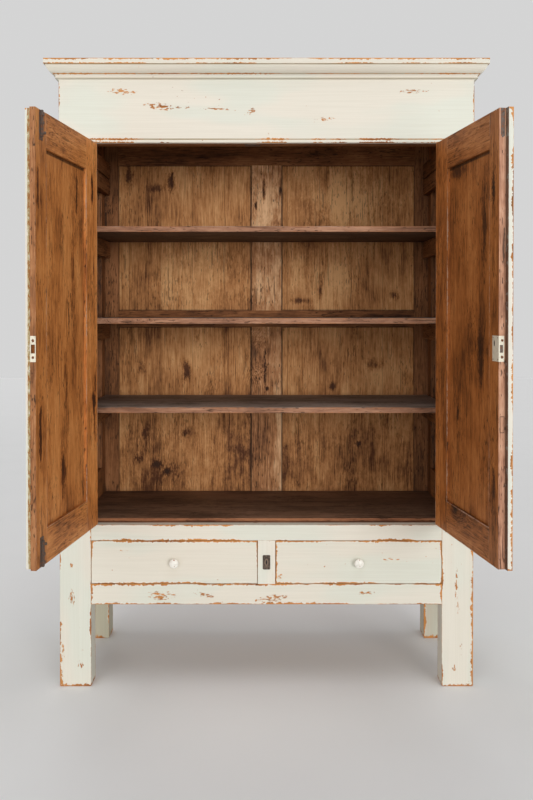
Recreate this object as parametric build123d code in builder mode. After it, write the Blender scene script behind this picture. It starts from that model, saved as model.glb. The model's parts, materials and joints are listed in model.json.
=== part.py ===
"""Trastero cabinet: a two-door painted cupboard on four posts, with two drawers below.

The frame and panel case is held by four posts that run down into the legs. Left and right are
those of someone who faces the doors. X runs to the right, Y from the front to the back and Z up.
The origin is on the floor, in the middle of the box that the cabinet fills with its doors open.
"""

import os
from math import cos, radians, sin

from build123d import *

os.makedirs("parts", exist_ok=True)

# ------------------------------------------------------------------ driving sizes, in mm
# Case, across
BODY_WIDTH = 1320.0
POST_WIDTH = 100.0
REAR_POST_WIDTH = 83.0
DOOR_RABBET = 15.0
SIDE_WALL_THICKNESS = 59.0
SIDE_RAIL_INSET = 15.0
DIVIDER_WIDTH = 56.0

# Case, front to back
BODY_DEPTH = 567.0
FRONT_POST_DEPTH = 81.0
REAR_POST_DEPTH = 92.5
RABBET_DEPTH = 36.0
RAIL_DEPTH = 48.0
HEAD_RAIL_DEPTH = 50.0
FRIEZE_THICKNESS = 25.0
BACK_FRAME_THICKNESS = 20.5

# Case, from the floor up
LEG_CLEARANCE = 263.0
LOWER_RAIL_HEIGHT = 65.0
DRAWER_OPENING_HEIGHT = 139.0
UPPER_RAIL_HEIGHT = 50.0
DOOR_OPENING_HEIGHT = 1216.5
FRIEZE_HEIGHT = 242.5
TOP_BOARD_THICKNESS = 16.0
HEAD_RAIL_HEIGHT = 60.0
TOP_PLANKS = 3

# Side frames
SIDE_MIDDLE_RAIL_DROP = 17.0
SIDE_MIDDLE_RAIL_HEIGHT = 175.0

# Back frame
BACK_STILE_WIDTH = 50.0
BACK_MUNTIN_WIDTH = 115.0
BACK_BOTTOM_RAIL_HEIGHT = 208.0
BACK_MIDDLE_RAIL_HEIGHT = 61.0
BACK_MIDDLE_RAIL_SHOW = 25.0
BACK_TOP_RAIL_HEIGHT = 236.0
BACK_PANEL_THICKNESS = 10.0
BACK_PLANK_WIDTH = 285.0

# Shelves and floor
FLOOR_THICKNESS = 20.0
FLOOR_RISE = 11.0
FLOOR_GAP = 1.0
SHELF_THICKNESS = 18.5
SHELF_SETBACK = 57.0
SHELF_PLAY = 1.5
BOTTOM_BAY_HEIGHT = 340.0
LOWER_BAY_HEIGHT = 271.0
UPPER_BAY_HEIGHT = 279.0
CLEAT_THICKNESS = 20.0
CLEAT_HEIGHT = 60.0
TOP_CLEAT_HEIGHT = 55.0
TOP_CLEAT_GAP = 5.0
TOP_CLEAT_RISE = 155.0

# Cornice
CORNICE_PROJECTION = 40.0
CORNICE_FASCIA = 17.0
CORNICE_STEP = 5.0
COVE_FOOT = 14.0
COVE_HEIGHT = 26.0
COVE_SAGITTA = 5.0
BEAD_HEIGHT = 14.0
BEAD_FOOT = 9.0
BEAD_SAGITTA = 3.5
CORNICE_QUIRK = 3.0

# Joinery
TENON_LENGTH = 30.0
TENON_THICKNESS = 16.0
TENON_SHOULDER = 8.0
THIN_TENON_THICKNESS = 8.0
THIN_TENON_LENGTH = 20.0
GROOVE_DEPTH = 10.0
GROOVE_PLAY = 2.0
TONGUE_THICKNESS = 10.0

# Edges
POST_EASE = 3.0
BOARD_EASE = 2.0
FOOT_CHAMFER = 2.5
FRIEZE_BEAD = 9.0
FRIEZE_QUIRK = 2.0

# Doors
DOOR_THICKNESS = 33.0
DOOR_EDGE_GAP = 4.0
HINGE_STILE_WIDTH = 118.0
LOCK_STILE_WIDTH = 80.0
DOOR_TOP_RAIL_WIDTH = 96.0
DOOR_BOTTOM_RAIL_WIDTH = 95.0
DOOR_PANEL_RECESS = 8.5
DOOR_FIELD_RISE = 8.0
DOOR_FIELD_MARGIN = 6.0
DOOR_FIELD_BEVEL = 42.0
SIDE_FIELD_RISE = 8.0
SIDE_FIELD_BEVEL = 34.0
TONGUE_REACH = 7.0
LIP_REACH = 8.0
MEETING_GAP = 1.5
LEFT_REBATE_DEPTH = 18.0
RIGHT_LIP_THICKNESS = 14.0
LEFT_DOOR_OPEN = 96.3
RIGHT_DOOR_OPEN = 97.2

# Hinges
HINGE_GAP = 1.5
BARREL_PROUD = 5.0
BARREL_RADIUS = 4.7
PIN_RADIUS = 2.0
PIN_CLEARANCE = 0.05
HINGE_HEIGHT = 76.0
HINGE_LEAF_WIDTH = 29.0
HINGE_LEAF_THICKNESS = 2.2
KNUCKLES = 3
KNUCKLE_GAP = 0.4
HINGE_END_DISTANCE = 144.0

# Door fittings
BOLT_FROM_EDGE = 43.0
BOLT_PLATE_WIDTH = 26.0
BOLT_PLATE_LENGTH = 78.0
BOLT_PLATE_THICKNESS = 1.6
BOLT_PLATE_END = 2.0
BOLT_BAR_WIDTH = 9.0
BOLT_BAR_THICKNESS = 5.0
BOLT_BAR_LENGTH = 70.0
BOLT_BAR_END = 1.0
BOLT_KNOB_RADIUS = 4.0
BOLT_KNOB_HEIGHT = 8.0
BOLT_KNOB_CHAMFER = 1.5
BOLT_KNOB_OFFSET = 62.0
STAPLE_WIDTH = 8.0
STAPLE_WALL = 1.6
STAPLE_OFFSETS = (12.0, 34.0)
BOLT_TRAVEL = 15.0
FITTING_CLEARANCE = 0.3
KEEPER_WIDTH = 48.0
KEEPER_DEPTH = 34.0
KEEPER_THICKNESS = 1.6
KEEPER_SHIFT = 9.0
KEEPER_HOLE_PLAY = 2.0
LOCK_HEIGHT_FROM_FLOOR = 1100.0
LOCK_PLATE_HEIGHT = 68.0
LOCK_PLATE_WIDTH = 48.0
LOCK_PLATE_THICKNESS = 2.0
LOCK_CASE_DEPTH = 13.0
LOCK_CASE_MARGIN = 5.0
LOCK_BOLT_HEIGHT = 20.0
LOCK_BOLT_THICKNESS = 8.0
LOCK_BOLT_LENGTH = 34.0
LOCK_TRAVEL = 9.0
STRIKE_POCKET_DEPTH = 12.0
KEYHOLE_BACKSET = 26.0
EDGE_PLATE_WIDTH = 11.0
EDGE_PLATE_LENGTH = 78.0
EDGE_PLATE_THICKNESS = 1.6
EDGE_PLATE_POINT = 6.0

# Key plates
DRAWER_KEY_PLATE = (24.0, 46.0)
DOOR_KEY_PLATE = (28.0, 48.0)
KEY_PLATE_THICKNESS = 2.0
KEY_PLATE_BORDER = 3.0
KEYHOLE_WIDTH = 5.5
KEYHOLE_LENGTH = 15.0
KEYHOLE_DEPTH = 12.0

# Drawers
DRAWER_GAP = 1.5
DRAWER_FRONT_THICKNESS = 20.0
DRAWER_DEPTH = 480.0
DRAWER_SIDE_THICKNESS = 12.0
DRAWER_SIDE_HEIGHT = 125.0
DRAWER_SIDE_GAP = 2.0
DRAWER_BACK_SETBACK = 2.0
DRAWER_BOTTOM_RISE = 8.0
DRAWER_BOTTOM_THICKNESS = 8.0
DRAWER_GROOVE = 6.0
DOVETAIL_LAP = 8.0
DOVETAILS = 3
DOVETAIL_ROOT = 20.0
DOVETAIL_FLARE = 4.0
RUNNER_CLEARANCE = 0.3
RUNNER_WIDTH = 56.0
RUNNER_HEIGHT = 30.0
GUIDE_HEIGHT = 30.0
GUIDE_WIDTH = 30.0
STOP_SIZE = (40.0, 12.0, 6.0)
STOP_INSET = 70.0

# Knobs
KNOB_NECK_RADIUS = 9.0
KNOB_NECK_HEIGHT = 13.0
KNOB_RADIUS = 15.0
KNOB_BROW_HEIGHT = 22.0
KNOB_FACE_RADIUS = 10.0
KNOB_HEIGHT = 27.0
SCREW_RADIUS = 2.0
SCREW_HEAD_RADIUS = 4.5
SCREW_HEAD_HEIGHT = 2.5
SCREW_BITE = 16.0
SCREW_CLEARANCE = 0.3

# ------------------------------------------------------------------ places that follow from them
HALF = BODY_WIDTH / 2
POST_INNER = HALF - POST_WIDTH
REAR_POST_INNER = HALF - REAR_POST_WIDTH
JAMB = POST_INNER + DOOR_RABBET
WALL_INNER = HALF - SIDE_WALL_THICKNESS
DIVIDER_HALF = DIVIDER_WIDTH / 2

REAR_POST_FRONT = BODY_DEPTH - REAR_POST_DEPTH
BACK_FACE = BODY_DEPTH - BACK_FRAME_THICKNESS

LOWER_RAIL_TOP = LEG_CLEARANCE + LOWER_RAIL_HEIGHT
UPPER_RAIL_BOTTOM = LOWER_RAIL_TOP + DRAWER_OPENING_HEIGHT
DOOR_SILL = UPPER_RAIL_BOTTOM + UPPER_RAIL_HEIGHT
DOOR_HEAD = DOOR_SILL + DOOR_OPENING_HEIGHT
CASE_TOP = DOOR_HEAD + FRIEZE_HEIGHT
FLOOR_TOP = DOOR_SILL + FLOOR_RISE
FLOOR_BOTTOM = FLOOR_TOP - FLOOR_THICKNESS

SHELF_BOTTOMS = {"bottom": FLOOR_TOP + BOTTOM_BAY_HEIGHT}
SHELF_BOTTOMS["middle"] = SHELF_BOTTOMS["bottom"] + SHELF_THICKNESS + LOWER_BAY_HEIGHT
SHELF_BOTTOMS["top"] = SHELF_BOTTOMS["middle"] + SHELF_THICKNESS + UPPER_BAY_HEIGHT

DOOR_BOTTOM = DOOR_SILL + DOOR_EDGE_GAP
DOOR_TOP = DOOR_HEAD - DOOR_EDGE_GAP
PIVOT_X = JAMB - HINGE_GAP / 2
HINGE_EDGE = HINGE_GAP / 2
OUTER_FACE = BARREL_PROUD
INNER_FACE = BARREL_PROUD + DOOR_THICKNESS

# Reach of each leaf from its pivot, on its inner and outer layer
LEFT_TONGUE_END = PIVOT_X + TONGUE_REACH
RIGHT_LIP_END = PIVOT_X + LIP_REACH
LEFT_OUTER_END = PIVOT_X - LIP_REACH - MEETING_GAP
RIGHT_INNER_END = PIVOT_X - TONGUE_REACH - MEETING_GAP
DOOR_PANEL_START = HINGE_EDGE + HINGE_STILE_WIDTH
DOOR_PANEL_END = LEFT_OUTER_END - LOCK_STILE_WIDTH + LIP_REACH
DOOR_PANEL_SPAN = (DOOR_PANEL_START, DOOR_PANEL_END)
DOOR_PANEL_HEIGHTS = (DOOR_BOTTOM + DOOR_BOTTOM_RAIL_WIDTH, DOOR_TOP - DOOR_TOP_RAIL_WIDTH)
DOOR_TONGUE_BACK = INNER_FACE - DOOR_PANEL_RECESS
DOOR_TONGUE_FRONT = DOOR_TONGUE_BACK - TONGUE_THICKNESS

# The front plane stands so that the origin is midway between the open doors' edges and the back
LEFT_REACH = LEFT_TONGUE_END * sin(radians(LEFT_DOOR_OPEN)) - INNER_FACE * cos(radians(LEFT_DOOR_OPEN))
RIGHT_REACH = RIGHT_LIP_END * sin(radians(RIGHT_DOOR_OPEN)) - (
    (OUTER_FACE + RIGHT_LIP_THICKNESS) * cos(radians(RIGHT_DOOR_OPEN))
)
FRONT_Y = (BARREL_PROUD + max(LEFT_REACH, RIGHT_REACH) - BODY_DEPTH) / 2

CASE = Plane(origin=(0, FRONT_Y, 0))
SIDES = {"left": -1, "right": 1}


def leaf_plane(side, opened):
    """Working plane of a door: origin on its hinge line, x along the leaf to its free edge."""
    return Plane(
        origin=(side * PIVOT_X, FRONT_Y - BARREL_PROUD, 0),
        x_dir=(-side * cos(radians(opened)), -sin(radians(opened)), 0),
        z_dir=(0, 0, 1),
    )


LEFT_LEAF = leaf_plane(-1, LEFT_DOOR_OPEN)
RIGHT_LEAF = leaf_plane(1, RIGHT_DOOR_OPEN)
LEAVES = {"left": (LEFT_LEAF, 1), "right": (RIGHT_LEAF, -1)}


# ------------------------------------------------------------------ helpers
def fill(x, y, z, mode=Mode.ADD):
    """Add the block that spans the ranges x, y and z to the piece in hand."""
    (x0, x1), (y0, y1), (z0, z1) = sorted(x), sorted(y), sorted(z)
    with Locations((x0, y0, z0)):
        Box(x1 - x0, y1 - y0, z1 - z0, align=(Align.MIN, Align.MIN, Align.MIN), mode=mode)


def cut(x, y, z):
    """Cut the block that spans the ranges x, y and z from the piece in hand."""
    fill(x, y, z, mode=Mode.SUBTRACT)


def across(side, span):
    """A range measured from the middle, turned to one side."""
    return (side * span[0], side * span[1])


def centred(middle, width):
    """The range of a width about its middle."""
    return (middle - width / 2, middle + width / 2)


def within(span, width):
    """The range of a width in the middle of another range."""
    return centred((span[0] + span[1]) / 2, width)


def grown(span, amount):
    """A range made longer at both ends; a negative amount makes it shorter."""
    low, high = sorted(span)
    return (low - amount, high + amount)


def save(piece, label):
    """Write one piece as a node."""
    piece.part.label = label
    export_step(piece.part, f"parts/{label}.step")


def save_group(label, pieces):
    """Write pieces that touch, or that repeat, as one node of separate solids."""
    solids = [solid for piece in pieces for solid in piece.part.solids()]
    export_step(Compound(label=label, children=solids), f"parts/{label}.step")


# ------------------------------------------------------------------ rails of the front, and their tenons
LOWER_RAIL = ((0, RAIL_DEPTH), (LEG_CLEARANCE, LOWER_RAIL_TOP))
UPPER_RAIL = ((0, RAIL_DEPTH), (UPPER_RAIL_BOTTOM, DOOR_SILL))
HEAD_RAIL = (
    (FRIEZE_THICKNESS, FRIEZE_THICKNESS + HEAD_RAIL_DEPTH),
    (DOOR_HEAD, DOOR_HEAD + HEAD_RAIL_HEIGHT),
)
FRONT_RAILS = (LOWER_RAIL, UPPER_RAIL, HEAD_RAIL)


def front_tenon(side, rail):
    """Tenon by which a front rail enters the post on one side."""
    depth, height = rail
    span = (POST_INNER, POST_INNER + TENON_LENGTH)
    return across(side, span), within(depth, TENON_THICKNESS), grown(height, -TENON_SHOULDER)


def divider_tenon(rail_face, direction):
    """Tenon of the drawer divider in the rail above (1) or below (-1) it."""
    return (
        centred(0, DIVIDER_WIDTH - 2 * TENON_SHOULDER),
        within((0, RAIL_DEPTH), TENON_THICKNESS),
        (rail_face, rail_face + direction * THIN_TENON_LENGTH),
    )


# ------------------------------------------------------------------ side frames, and their joints
SIDE_RAIL_SPAN = (WALL_INNER, HALF - SIDE_RAIL_INSET)
SIDE_MIDDLE_RAIL = (UPPER_RAIL_BOTTOM - SIDE_MIDDLE_RAIL_DROP,
                    UPPER_RAIL_BOTTOM - SIDE_MIDDLE_RAIL_DROP + SIDE_MIDDLE_RAIL_HEIGHT)
SIDE_RAILS = (
    (SIDE_RAIL_SPAN, (LEG_CLEARANCE, LOWER_RAIL_TOP)),
    (SIDE_RAIL_SPAN, SIDE_MIDDLE_RAIL),
    ((WALL_INNER, HALF), (DOOR_HEAD, CASE_TOP)),
)
SIDE_OPENINGS = ((LOWER_RAIL_TOP, SIDE_MIDDLE_RAIL[0]), (SIDE_MIDDLE_RAIL[1], DOOR_HEAD))
SIDE_DEPTH = (FRONT_POST_DEPTH, REAR_POST_FRONT)
SIDE_TONGUE = within(SIDE_RAIL_SPAN, TONGUE_THICKNESS)


def side_tenon(side, post_face, direction, height):
    """Tenon by which a side rail enters the front post (-1) or the rear post (1)."""
    return (
        across(side, within(SIDE_RAIL_SPAN, TENON_THICKNESS)),
        (post_face, post_face + direction * TENON_LENGTH),
        grown(height, -GROOVE_DEPTH),
    )


def cut_side_joints(side, post_face, direction):
    """Mortises and panel grooves of a post for the side frame."""
    for _, height in SIDE_RAILS:
        cut(*side_tenon(side, post_face, direction, height))
    for opening in SIDE_OPENINGS:
        cut_groove(across(side, SIDE_TONGUE), SIDE_DEPTH, opening)


def cut_groove(x, y, z):
    """Groove round a side opening: the opening's tongue space, grown into the members."""
    cut(x, grown(y, GROOVE_DEPTH), grown(z, GROOVE_DEPTH))


# ------------------------------------------------------------------ hinges
HINGE_MIDDLES = (
    DOOR_BOTTOM + HINGE_END_DISTANCE,
    (DOOR_BOTTOM + DOOR_TOP) / 2,
    DOOR_TOP - HINGE_END_DISTANCE,
)
KNUCKLE_PITCH = HINGE_HEIGHT / KNUCKLES


def hinge_leaf(x, y, keep, pin):
    """One half of each butt hinge, on a hinge line at the working plane's origin.

    x and y are the ranges of the flat leaf, keep says which knuckles it has (0 for the first,
    third and so on, 1 for those between, where the leaf is notched for the other half's), and pin
    fills their bore with the fixed pin.
    """
    for middle in HINGE_MIDDLES:
        foot = middle - HINGE_HEIGHT / 2
        fill(x, y, (foot, foot + HINGE_HEIGHT))
        for knuckle in range(KNUCKLES):
            level = foot + knuckle * KNUCKLE_PITCH
            if knuckle % 2 == keep:
                with Locations((0, 0, level + KNUCKLE_GAP / 2)):
                    Cylinder(BARREL_RADIUS, KNUCKLE_PITCH - KNUCKLE_GAP,
                             align=(Align.CENTER, Align.CENTER, Align.MIN))
            else:
                notch = centred(0, 2 * (BARREL_RADIUS + KNUCKLE_GAP))
                cut(notch, notch, grown((level, level + KNUCKLE_PITCH), KNUCKLE_GAP / 2))
        with Locations((0, 0, middle)):
            if pin:
                Cylinder(PIN_RADIUS, HINGE_HEIGHT - KNUCKLE_GAP)
            else:
                Cylinder(PIN_RADIUS + PIN_CLEARANCE, HINGE_HEIGHT, mode=Mode.SUBTRACT)


def cut_hinge_seats(x, y):
    """Shallow seats that the flat leaves lie in."""
    for middle in HINGE_MIDDLES:
        cut(x, y, centred(middle, HINGE_HEIGHT))


# ------------------------------------------------------------------ front posts
for word, side in SIDES.items():
    with BuildPart(CASE) as post:
        fill(across(side, (POST_INNER, HALF)), (0, FRONT_POST_DEPTH), (0, CASE_TOP))
        fillet(post.edges().filter_by(Axis.Z).group_by(Axis.X, reverse=side > 0)[0], POST_EASE)
        chamfer(post.faces().sort_by(Axis.Z)[0].edges(), FOOT_CHAMFER)
        cut(across(side, (POST_INNER, JAMB)), (0, RABBET_DEPTH), (DOOR_SILL, DOOR_HEAD))
        cut(across(side, (POST_INNER, HALF)), (0, FRIEZE_THICKNESS), (DOOR_HEAD, CASE_TOP))
        for rail in FRONT_RAILS:
            cut(*front_tenon(side, rail))
        cut_side_joints(side, FRONT_POST_DEPTH, -1)
        cut_hinge_seats(across(side, (JAMB, JAMB + HINGE_LEAF_THICKNESS)), (0, HINGE_LEAF_WIDTH))
    save(post, f"front_{word}_post")

# ------------------------------------------------------------------ rear posts
BACK_RAIL_DEPTH = (BACK_FACE, BODY_DEPTH)
BACK_BOTTOM_RAIL = (FLOOR_BOTTOM - BACK_BOTTOM_RAIL_HEIGHT, FLOOR_BOTTOM)


def bottom_back_tenon(side):
    """Tenon of the back's bottom rail in a rear post."""
    span = (REAR_POST_INNER, REAR_POST_INNER + TENON_LENGTH)
    return (
        across(side, span),
        within(BACK_RAIL_DEPTH, THIN_TENON_THICKNESS),
        grown(BACK_BOTTOM_RAIL, -GROOVE_DEPTH),
    )


for word, side in SIDES.items():
    with BuildPart(CASE) as post:
        fill(across(side, (REAR_POST_INNER, HALF)), (REAR_POST_FRONT, BODY_DEPTH), (0, CASE_TOP))
        fillet(post.edges().filter_by(Axis.Z).group_by(Axis.X, reverse=side > 0)[0], POST_EASE)
        chamfer(post.faces().sort_by(Axis.Z)[0].edges(), FOOT_CHAMFER)
        cut(across(side, (REAR_POST_INNER, WALL_INNER)), (REAR_POST_FRONT, BODY_DEPTH),
            (FLOOR_BOTTOM, CASE_TOP))
        cut_side_joints(side, REAR_POST_FRONT, 1)
        cut(*bottom_back_tenon(side))
    save(post, f"rear_{word}_post")

# ------------------------------------------------------------------ front rails and drawer divider
with BuildPart(CASE) as lower_rail:
    fill((-POST_INNER, POST_INNER), *LOWER_RAIL)
    for side in SIDES.values():
        fill(*front_tenon(side, LOWER_RAIL))
    cut(*divider_tenon(LOWER_RAIL_TOP, -1))
save(lower_rail, "lower_drawer_rail")

BOLT_LINE = -(LEFT_TONGUE_END - BOLT_FROM_EDGE - PIVOT_X)
BOLT_DEPTH = DOOR_THICKNESS + BOLT_PLATE_THICKNESS + FITTING_CLEARANCE + BOLT_BAR_THICKNESS / 2
BOLT_HOLE = (
    centred(-BOLT_LINE, BOLT_BAR_WIDTH + 2 * KEEPER_HOLE_PLAY),
    centred(BOLT_DEPTH, BOLT_BAR_THICKNESS + 2 * KEEPER_HOLE_PLAY),
)

with BuildPart(CASE) as upper_rail:
    fill((-POST_INNER, POST_INNER), *UPPER_RAIL)
    for side in SIDES.values():
        fill(*front_tenon(side, UPPER_RAIL))
    cut(*divider_tenon(UPPER_RAIL_BOTTOM, 1))
    cut(*BOLT_HOLE, (DOOR_SILL - BOLT_TRAVEL, DOOR_SILL))
save(upper_rail, "upper_drawer_rail")


def keyhole_cut(plane, depth):
    """Cut an upright oval keyhole into the piece in hand, from the plane into it."""
    with BuildSketch(plane) as outline:
        SlotOverall(KEYHOLE_LENGTH, KEYHOLE_WIDTH, rotation=90)
    extrude(outline.sketch, amount=-depth, mode=Mode.SUBTRACT)


DIVIDER_MIDDLE = (LOWER_RAIL_TOP + UPPER_RAIL_BOTTOM) / 2
DIVIDER_FRONT = Plane(origin=(0, FRONT_Y, DIVIDER_MIDDLE), x_dir=(1, 0, 0), z_dir=(0, -1, 0))

with BuildPart(CASE) as divider:
    fill((-DIVIDER_HALF, DIVIDER_HALF), (0, RAIL_DEPTH), (LOWER_RAIL_TOP, UPPER_RAIL_BOTTOM))
    fill(*divider_tenon(LOWER_RAIL_TOP, -1))
    fill(*divider_tenon(UPPER_RAIL_BOTTOM, 1))
    keyhole_cut(DIVIDER_FRONT, KEYHOLE_DEPTH)
save(divider, "drawer_divider")

# ------------------------------------------------------------------ frieze, head rail and top
FRIEZE_PROFILE = Plane(origin=(HALF, FRONT_Y, DOOR_HEAD), x_dir=(0, -1, 0), z_dir=(-1, 0, 0))

with BuildPart() as frieze:
    with BuildSketch(FRIEZE_PROFILE):
        with BuildLine():
            bead = SagittaArc((-FRIEZE_QUIRK, 0), (-FRIEZE_QUIRK, FRIEZE_BEAD), -FRIEZE_QUIRK)
            Polyline(
                bead @ 1,
                (0, FRIEZE_BEAD + FRIEZE_QUIRK),
                (0, FRIEZE_HEIGHT),
                (-FRIEZE_THICKNESS, FRIEZE_HEIGHT),
                (-FRIEZE_THICKNESS, 0),
                bead @ 0,
            )
        make_face()
    extrude(amount=BODY_WIDTH)
    ends = frieze.edges().filter_by(Axis.Z).group_by(Axis.Y)[0]
    fillet(ends.filter_by(lambda edge: edge.length > FRIEZE_HEIGHT / 2), POST_EASE)
save(frieze, "frieze_board")

KEEPER_MIDDLE = -BOLT_LINE - KEEPER_SHIFT
KEEPER_FRONT = BOLT_HOLE[1][0] - BOLT_PLATE_THICKNESS
KEEPER_SPAN = (centred(KEEPER_MIDDLE, KEEPER_WIDTH), (KEEPER_FRONT, KEEPER_FRONT + KEEPER_DEPTH))

with BuildPart(CASE) as head_rail:
    fill((-POST_INNER, POST_INNER), *HEAD_RAIL)
    for side in SIDES.values():
        fill(*front_tenon(side, HEAD_RAIL))
    cut(*BOLT_HOLE, (DOOR_HEAD, DOOR_HEAD + BOLT_TRAVEL))
save(head_rail, "head_rail")

with BuildPart(CASE) as keeper:
    fill(*KEEPER_SPAN, (DOOR_HEAD - KEEPER_THICKNESS, DOOR_HEAD))
    fillet(keeper.edges().filter_by(Axis.Z), KEEPER_HOLE_PLAY)
    cut(*BOLT_HOLE, (DOOR_HEAD - KEEPER_THICKNESS, DOOR_HEAD))
save(keeper, "bolt_keeper")

plank_depth = BODY_DEPTH / TOP_PLANKS
planks = []
for index in range(TOP_PLANKS):
    with BuildPart(CASE) as plank:
        fill((-HALF, HALF), (index * plank_depth, (index + 1) * plank_depth),
             (CASE_TOP, CASE_TOP + TOP_BOARD_THICKNESS))
    planks.append(plank)
save_group("top_board", planks)

# ------------------------------------------------------------------ cornice
with BuildSketch() as cornice_section:
    with BuildLine():
        fascia_foot = CORNICE_PROJECTION, -CORNICE_FASCIA
        cove_head = CORNICE_PROJECTION - CORNICE_STEP, -CORNICE_FASCIA
        cove_foot = COVE_FOOT, -CORNICE_FASCIA - COVE_HEIGHT
        bead_foot = BEAD_FOOT, -CORNICE_FASCIA - COVE_HEIGHT - BEAD_HEIGHT
        Polyline((0, 0), (CORNICE_PROJECTION, 0), fascia_foot, cove_head)
        SagittaArc(cove_head, cove_foot, COVE_SAGITTA)
        SagittaArc(cove_foot, bead_foot, -BEAD_SAGITTA)
        Polyline(
            bead_foot,
            (CORNICE_QUIRK, bead_foot[1]),
            (0, bead_foot[1] - CORNICE_QUIRK),
            (0, 0),
        )
    make_face()

CORNICE_TOP = CASE_TOP + TOP_BOARD_THICKNESS
CORNICE_REACH = HALF + CORNICE_PROJECTION


def mitre(side):
    """Plane of the mitre at one front corner; its back looks at the front run."""
    return Plane(origin=(side * HALF, FRONT_Y, 0), x_dir=(0, 0, 1), z_dir=(side, 1, 0))


FRONT_RUN = Plane(origin=(CORNICE_REACH, FRONT_Y, CORNICE_TOP), x_dir=(0, -1, 0), z_dir=(-1, 0, 0))

with BuildPart() as cornice:
    with BuildSketch(FRONT_RUN):
        add(cornice_section.sketch)
    extrude(amount=2 * CORNICE_REACH)
    for side in SIDES.values():
        split(bisect_by=mitre(side), keep=Keep.BOTTOM)
save(cornice, "cornice_front")

for word, side in SIDES.items():
    run_start = FRONT_Y - CORNICE_PROJECTION if side < 0 else FRONT_Y + BODY_DEPTH
    side_run = Plane(origin=(side * HALF, run_start, CORNICE_TOP), x_dir=(side, 0, 0),
                     z_dir=(0, -side, 0))
    with BuildPart() as cornice:
        with BuildSketch(side_run):
            add(cornice_section.sketch)
        extrude(amount=CORNICE_PROJECTION + BODY_DEPTH)
        split(bisect_by=mitre(side), keep=Keep.TOP)
    save(cornice, f"cornice_{word}")

# ------------------------------------------------------------------ side frames


def fielded_panel(plane, width, height, rise, bevel):
    """Panel that lies in grooves round an opening, its raised field towards the plane's normal.

    The plane lies on the inner face of the panel's tongue, in the middle of the opening.
    """
    entry = GROOVE_DEPTH - GROOVE_PLAY
    with BuildPart() as panel:
        with BuildSketch(plane):
            Rectangle(width + 2 * entry, height + 2 * entry)
        extrude(amount=TONGUE_THICKNESS)
        with BuildSketch(plane.offset(TONGUE_THICKNESS)):
            Rectangle(width - 2 * DOOR_FIELD_MARGIN, height - 2 * DOOR_FIELD_MARGIN)
        with BuildSketch(plane.offset(TONGUE_THICKNESS + rise)):
            Rectangle(width - 2 * bevel, height - 2 * bevel)
        loft()
    return panel


for word, side in SIDES.items():
    rails = []
    for span, height in SIDE_RAILS:
        with BuildPart(CASE) as rail:
            fill(across(side, span), SIDE_DEPTH, height)
            fill(*side_tenon(side, FRONT_POST_DEPTH, -1, height))
            fill(*side_tenon(side, REAR_POST_FRONT, 1, height))
            for opening in SIDE_OPENINGS:
                cut_groove(across(side, SIDE_TONGUE), grown(SIDE_DEPTH, -GROOVE_DEPTH), opening)
        rails.append(rail)
    save_group(f"{word}_side_rails", rails)

    panels = []
    for low, high in SIDE_OPENINGS:
        panel_plane = Plane(
            origin=(side * SIDE_TONGUE[0], FRONT_Y + sum(SIDE_DEPTH) / 2, (low + high) / 2),
            x_dir=(0, side, 0),
            z_dir=(side, 0, 0),
        )
        depth = SIDE_DEPTH[1] - SIDE_DEPTH[0]
        panels.append(
            fielded_panel(panel_plane, depth, high - low, SIDE_FIELD_RISE, SIDE_FIELD_BEVEL)
        )
    save_group(f"{word}_side_panels", panels)

# ------------------------------------------------------------------ back frame
BACK_STILE_INNER = WALL_INNER - BACK_STILE_WIDTH
MUNTIN_HALF = BACK_MUNTIN_WIDTH / 2
MIDDLE_RAIL_TOP = SHELF_BOTTOMS["middle"] + SHELF_THICKNESS + BACK_MIDDLE_RAIL_SHOW
BACK_MIDDLE_RAIL = (MIDDLE_RAIL_TOP - BACK_MIDDLE_RAIL_HEIGHT, MIDDLE_RAIL_TOP)
BACK_TOP_RAIL = (CASE_TOP - BACK_TOP_RAIL_HEIGHT, CASE_TOP)
BACK_BAYS = ((FLOOR_BOTTOM, BACK_MIDDLE_RAIL[0]), (BACK_MIDDLE_RAIL[1], BACK_TOP_RAIL[0]))
BACK_TONGUE = within(BACK_RAIL_DEPTH, BACK_PANEL_THICKNESS)
BACK_OPENINGS = [
    (across(side, (MUNTIN_HALF, BACK_STILE_INNER)), bay) for side in SIDES.values() for bay in BACK_BAYS
]


def cut_back_grooves():
    """Grooves round each opening of the back frame."""
    for x, z in BACK_OPENINGS:
        cut(grown(x, GROOVE_DEPTH), BACK_TONGUE, grown(z, GROOVE_DEPTH))


def back_rail_tenon(side, height):
    """Tenon of a back rail in the back stile on one side."""
    span = (BACK_STILE_INNER, BACK_STILE_INNER + TENON_LENGTH)
    depth = within(BACK_RAIL_DEPTH, THIN_TENON_THICKNESS)
    return across(side, span), depth, grown(height, -GROOVE_DEPTH)


def muntin_tenon(face, direction):
    """Tenon of a back muntin in the rail above (1) or below (-1) it."""
    return (
        centred(0, BACK_MUNTIN_WIDTH - 2 * GROOVE_DEPTH - 2 * TENON_SHOULDER),
        within(BACK_RAIL_DEPTH, THIN_TENON_THICKNESS),
        (face, face + direction * THIN_TENON_LENGTH),
    )


stiles = []
for side in SIDES.values():
    with BuildPart(CASE) as stile:
        fill(across(side, (BACK_STILE_INNER, WALL_INNER)), BACK_RAIL_DEPTH, (FLOOR_BOTTOM, CASE_TOP))
        for height in (BACK_MIDDLE_RAIL, BACK_TOP_RAIL):
            cut(*back_rail_tenon(side, height))
        cut_back_grooves()
    stiles.append(stile)
save_group("back_stiles", stiles)

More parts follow.
